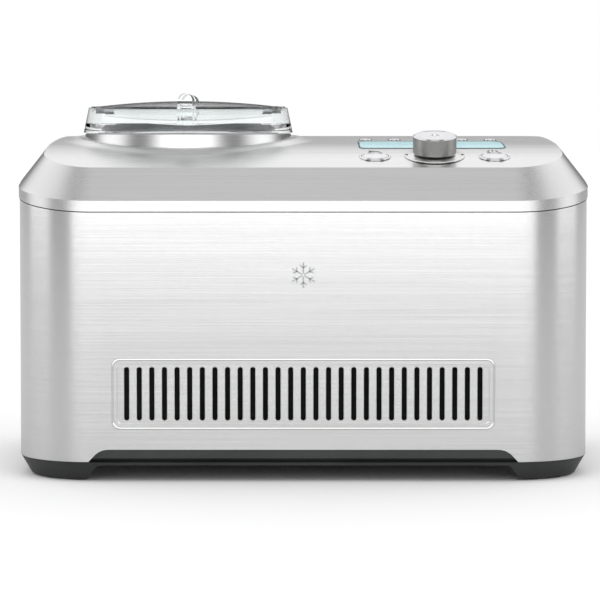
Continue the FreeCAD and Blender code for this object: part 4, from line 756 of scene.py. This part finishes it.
def bar(bm, start, end, width, height, matrix):
    """A flat bar between two points of the matrix's plane."""
    start, end = Vector(start), Vector(end)
    side = (end - start).normalized().orthogonal() * width / 2
    outline = [start - side, end - side, end + side, start + side]
    area = sum(a.x * b.y - b.x * a.y for a, b in zip(outline, outline[1:] + outline[:1]))
    extruded(bm, [tuple(v) for v in (outline if area > 0 else outline[::-1])], MARK_BASE, height, matrix)


def make_deck_marks():
    """A wedge over the start key, and a broken ring with a bar over the power key."""
    up = deck_at(middle("start_button").x, MARKS_Y)[1]
    bm = bmesh.new()
    place = deck_matrix_from(middle("start_button").x, MARKS_Y, up)
    extruded(bm, [(-4 * MM, -3 * MM), (4 * MM, 0), (-4 * MM, 3 * MM)], MARK_BASE, MARK_HEIGHT, place)
    finish("start_mark", bm, "ink", "casing")
    bm = bmesh.new()
    place = deck_matrix_from(middle("power_button").x, MARKS_Y, up)
    ring = [(3.4 * MM * math.sin(math.radians(a)), 3.4 * MM * math.cos(math.radians(a)))
            for a in range(40, 321, 20)]
    for start, end in zip(ring, ring[1:]):
        bar(bm, start, end, 1.0 * MM, MARK_HEIGHT, place)
    bar(bm, (0, 0.5 * MM), (0, 4.6 * MM), 1.0 * MM, MARK_HEIGHT, place)
    finish("power_mark", bm, "ink", "casing")


def make_emblem():
    """Six-armed snow crystal on the front face."""
    place = on_front(0, EMBLEM_LEVEL)
    bm = bmesh.new()
    arm, branch = 9.0 * MM, 3.0 * MM
    for n in range(6):
        turn = Matrix.Rotation(math.radians(60 * n), 2)
        bar(bm, turn @ Vector((0, 0.8 * MM)), turn @ Vector((0, arm)), 1.0 * MM, 0.25 * MM, place)
        for side in (-1, 1):
            root = Vector((0, arm * 0.55))
            tip = root + Vector((side * math.sin(math.radians(50)), math.cos(math.radians(50)))) * branch
            bar(bm, turn @ root, turn @ tip, 0.9 * MM, 0.25 * MM, place)
    finish("emblem", bm, "emblem", "casing")


def make_display():
    """Lit panel, slightly proud, in a thin dark frame that follows the deck."""
    low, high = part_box("lcd_window")
    centre = ((low[0] + high[0]) / 2, (low[1] + high[1]) / 2)
    half_x, half_y = (high[0] - low[0]) / 2, (high[1] - low[1]) / 2

    ends = [deck_at(high[0] + 3 * MM, low[1] + (high[1] - low[1]) * k / 8)[0] for k in range(9)]

    def window_level(y):
        share = min(max((y - low[1]) / (high[1] - low[1]), 0), 1) * 8
        k = min(int(share), 7)
        return ends[k] + (ends[k + 1] - ends[k]) * (share - k)

    rows = 12
    bm = bmesh.new()
    inner_x, inner_y = half_x - 1.0 * MM, half_y - 1.0 * MM
    grid = []
    corner = 4 * MM
    for r in range(rows + 1):
        y = -inner_y + 2 * inner_y * r / rows
        over = max(0.0, abs(y) - (inner_y - corner))
        reach = inner_x - (corner - math.sqrt(max(corner ** 2 - over ** 2, 0)))
        level = window_level(centre[1] + y)
        grid.append([[bm.verts.new((centre[0] + side * reach, centre[1] + y, level + lift * MM))
                      for side in (-1, 1)] for lift in (0.3, -1.0)])
    for r in range(rows):
        (a, b), (c, d) = grid[r], grid[r + 1]
        bm.faces.new((a[0], a[1], c[1], c[0]))
        bm.faces.new((b[0], d[0], d[1], b[1]))
        bm.faces.new((a[0], c[0], d[0], b[0]))
        bm.faces.new((a[1], b[1], d[1], c[1]))
    (a, b), (c, d) = grid[0], grid[-1]
    bm.faces.new((a[0], b[0], b[1], a[1]))
    bm.faces.new((c[0], c[1], d[1], d[0]))
    finish("display_panel", bm, "display", "casing", ["lcd_window"])
    bm = bmesh.new()
    sections = []
    outer = rounded_outline(half_x + 0.2 * MM, half_y + 0.2 * MM, 5 * MM, 8)
    inner = rounded_outline(half_x - 0.9 * MM, half_y - 0.9 * MM, 4 * MM, 8)
    for (x0, y0), (x1, y1) in zip(outer, inner):
        z0, z1 = window_level(centre[1] + y0), window_level(centre[1] + y1)
        out = Vector((centre[0] + x0, centre[1] + y0, z0))
        rim = Vector((centre[0] + x1, centre[1] + y1, z1))
        depth = Vector((0, 0, 0.8 * MM))
        sections.append([out - depth, out + Vector((0, 0, 0.35 * MM)), rim + Vector((0, 0, 0.45 * MM)),
                         rim - depth])
    swept_ring(bm, sections)
    finish("display_frame", bm, "display_rim", "casing")


make_collar()
make_seam_shadow()
make_grille_frame()
make_slot_rims()
make_dial()
make_keys()
make_key_gap_shadows()
make_deck_marks()
make_emblem()
make_display()


# ---------------------------------------------------------------- camera, floor and light


def make_camera():
    """Long lens at the height of the lid, tilted slightly down."""
    data = bpy.data.cameras.new("camera")
    data.lens = 147.7
    data.sensor_width = 36.0
    data.shift_y = -0.08
    data.clip_end = 60.0
    camera = bpy.data.objects.new("camera", data)
    camera.location = (-0.0023, -1.8375, 0.2444)
    camera.rotation_euler = (math.pi / 2 - math.radians(2.84), 0, 0)
    bpy.context.collection.objects.link(camera)
    bpy.context.scene.camera = camera


def make_floor():
    mesh = bpy.data.meshes.new("floor")
    reach = 25.0
    mesh.from_pydata([(-reach, -reach, 0), (reach, -reach, 0), (reach, reach, 0), (-reach, reach, 0)],
                     [], [(0, 1, 2, 3)])
    floor = bpy.data.objects.new("floor", mesh)
    bpy.context.collection.objects.link(floor)
    material, tree, shader = blank("floor")
    path = add(tree, "ShaderNodeLightPath")
    # painted shade: glossy rays see the floor darker than camera rays do, so the lower steel faces that
    # mirror it come out darker
    tone = shade(tree, path.outputs["Is Glossy Ray"], (0.94, 0.94, 0.94), (0.585, 0.585, 0.585))
    tree.links.new(tone, shader.inputs["Base Color"])
    shader.inputs["Roughness"].default_value = 0.9
    shader.inputs["Specular IOR Level"].default_value = 0.0
    mesh.materials.append(material)


PEAK = 4.0


def ramp(tree, source, levels):
    """Grey levels by position, softly joined; stored as shares of the brightest level allowed."""
    levels = [(position, level / PEAK) for position, level in levels]
    node = add(tree, "ShaderNodeValToRGB")
    node.color_ramp.interpolation = "EASE"
    elements = node.color_ramp.elements
    elements[0].position, elements[0].color = levels[0][0], (levels[0][1],) * 3 + (1,)
    elements[1].position, elements[1].color = levels[-1][0], (levels[-1][1],) * 3 + (1,)
    for position, level in levels[1:-1]:
        elements.new(position).color = (level,) * 3 + (1,)
    tree.links.new(source, node.inputs[0])
    raised = add(tree, "ShaderNodeMath", operation="MULTIPLY", in_1=PEAK)
    tree.links.new(node.outputs[0], raised.inputs[0])
    return raised.outputs[0]


def by_heading(*pairs):
    """Ramp levels given against degrees away from straight in front."""
    return [(degrees / 180, level) for degrees, level in pairs]


EYE_LEVEL = by_heading((0, 2.6), (28, 2.4), (40, 0.0), (64, 0.0), (76, 1.7), (108, 1.7), (118, 0.0),
                       (154, 0.0), (168, 0.12), (180, 0.12))
OVERHEAD = by_heading((0, 0.72), (35, 0.7), (48, 0.32), (68, 0.32), (84, 1.0), (130, 1.1), (180, 1.15))
DIFFUSE_LEVEL = 1.12


def make_world():
    """A white room with a front light, two side lights and dark gaps between them."""
    world = bpy.data.worlds.new("studio")
    bpy.context.scene.world = world
    world.use_nodes = True
    tree = world.node_tree
    tree.nodes.clear()
    link = tree.links.new
    place = add(tree, "ShaderNodeTexCoord")
    split = add(tree, "ShaderNodeSeparateXYZ")
    link(place.outputs["Generated"], split.inputs[0])
    toward = add(tree, "ShaderNodeMath", operation="MULTIPLY", in_1=-1.0)
    link(split.outputs["Y"], toward.inputs[0])
    heading = add(tree, "ShaderNodeMath", operation="ARCTAN2")
    link(split.outputs["X"], heading.inputs[0])
    link(toward.outputs[0], heading.inputs[1])
    either = add(tree, "ShaderNodeMath", operation="ABSOLUTE")
    link(heading.outputs[0], either.inputs[0])
    share = add(tree, "ShaderNodeMath", operation="DIVIDE", in_1=math.pi)
    link(either.outputs[0], share.inputs[0])
    low, high = ramp(tree, share.outputs[0], EYE_LEVEL), ramp(tree, share.outputs[0], OVERHEAD)
    rise = add(tree, "ShaderNodeMapRange", in_1=0.12, in_2=0.55)
    rise.interpolation_type = "SMOOTHSTEP"
    link(split.outputs["Z"], rise.inputs[0])
    room = shade(tree, rise.outputs[0], low, high)
    # seen through clear plastic: a white wall between a dark floor line and a dark ceiling
    backdrop = ramp(tree, spread(tree, split.outputs["Z"], 0.0, 1.0, -1.0, 1.0),
                    [(0.0, 0.7), (0.25, 0.75), (0.38, 1.05), (0.8, 1.05), (0.9, 0.8), (1.0, 0.75)])
    path = add(tree, "ShaderNodeLightPath")
    shown = shade(tree, path.outputs["Is Transmission Ray"], room, backdrop)
    lit = shade(tree, path.outputs["Is Diffuse Ray"], shown, (DIFFUSE_LEVEL,) * 3)
    seen = shade(tree, path.outputs["Is Camera Ray"], lit, (1, 1, 1))
    light = add(tree, "ShaderNodeBackground")
    link(seen, light.inputs["Color"])
    link(light.outputs[0], add(tree, "ShaderNodeOutputWorld").inputs[0])


bpy.context.scene.view_settings.view_transform = "Standard"
make_camera()
make_floor()
make_world()
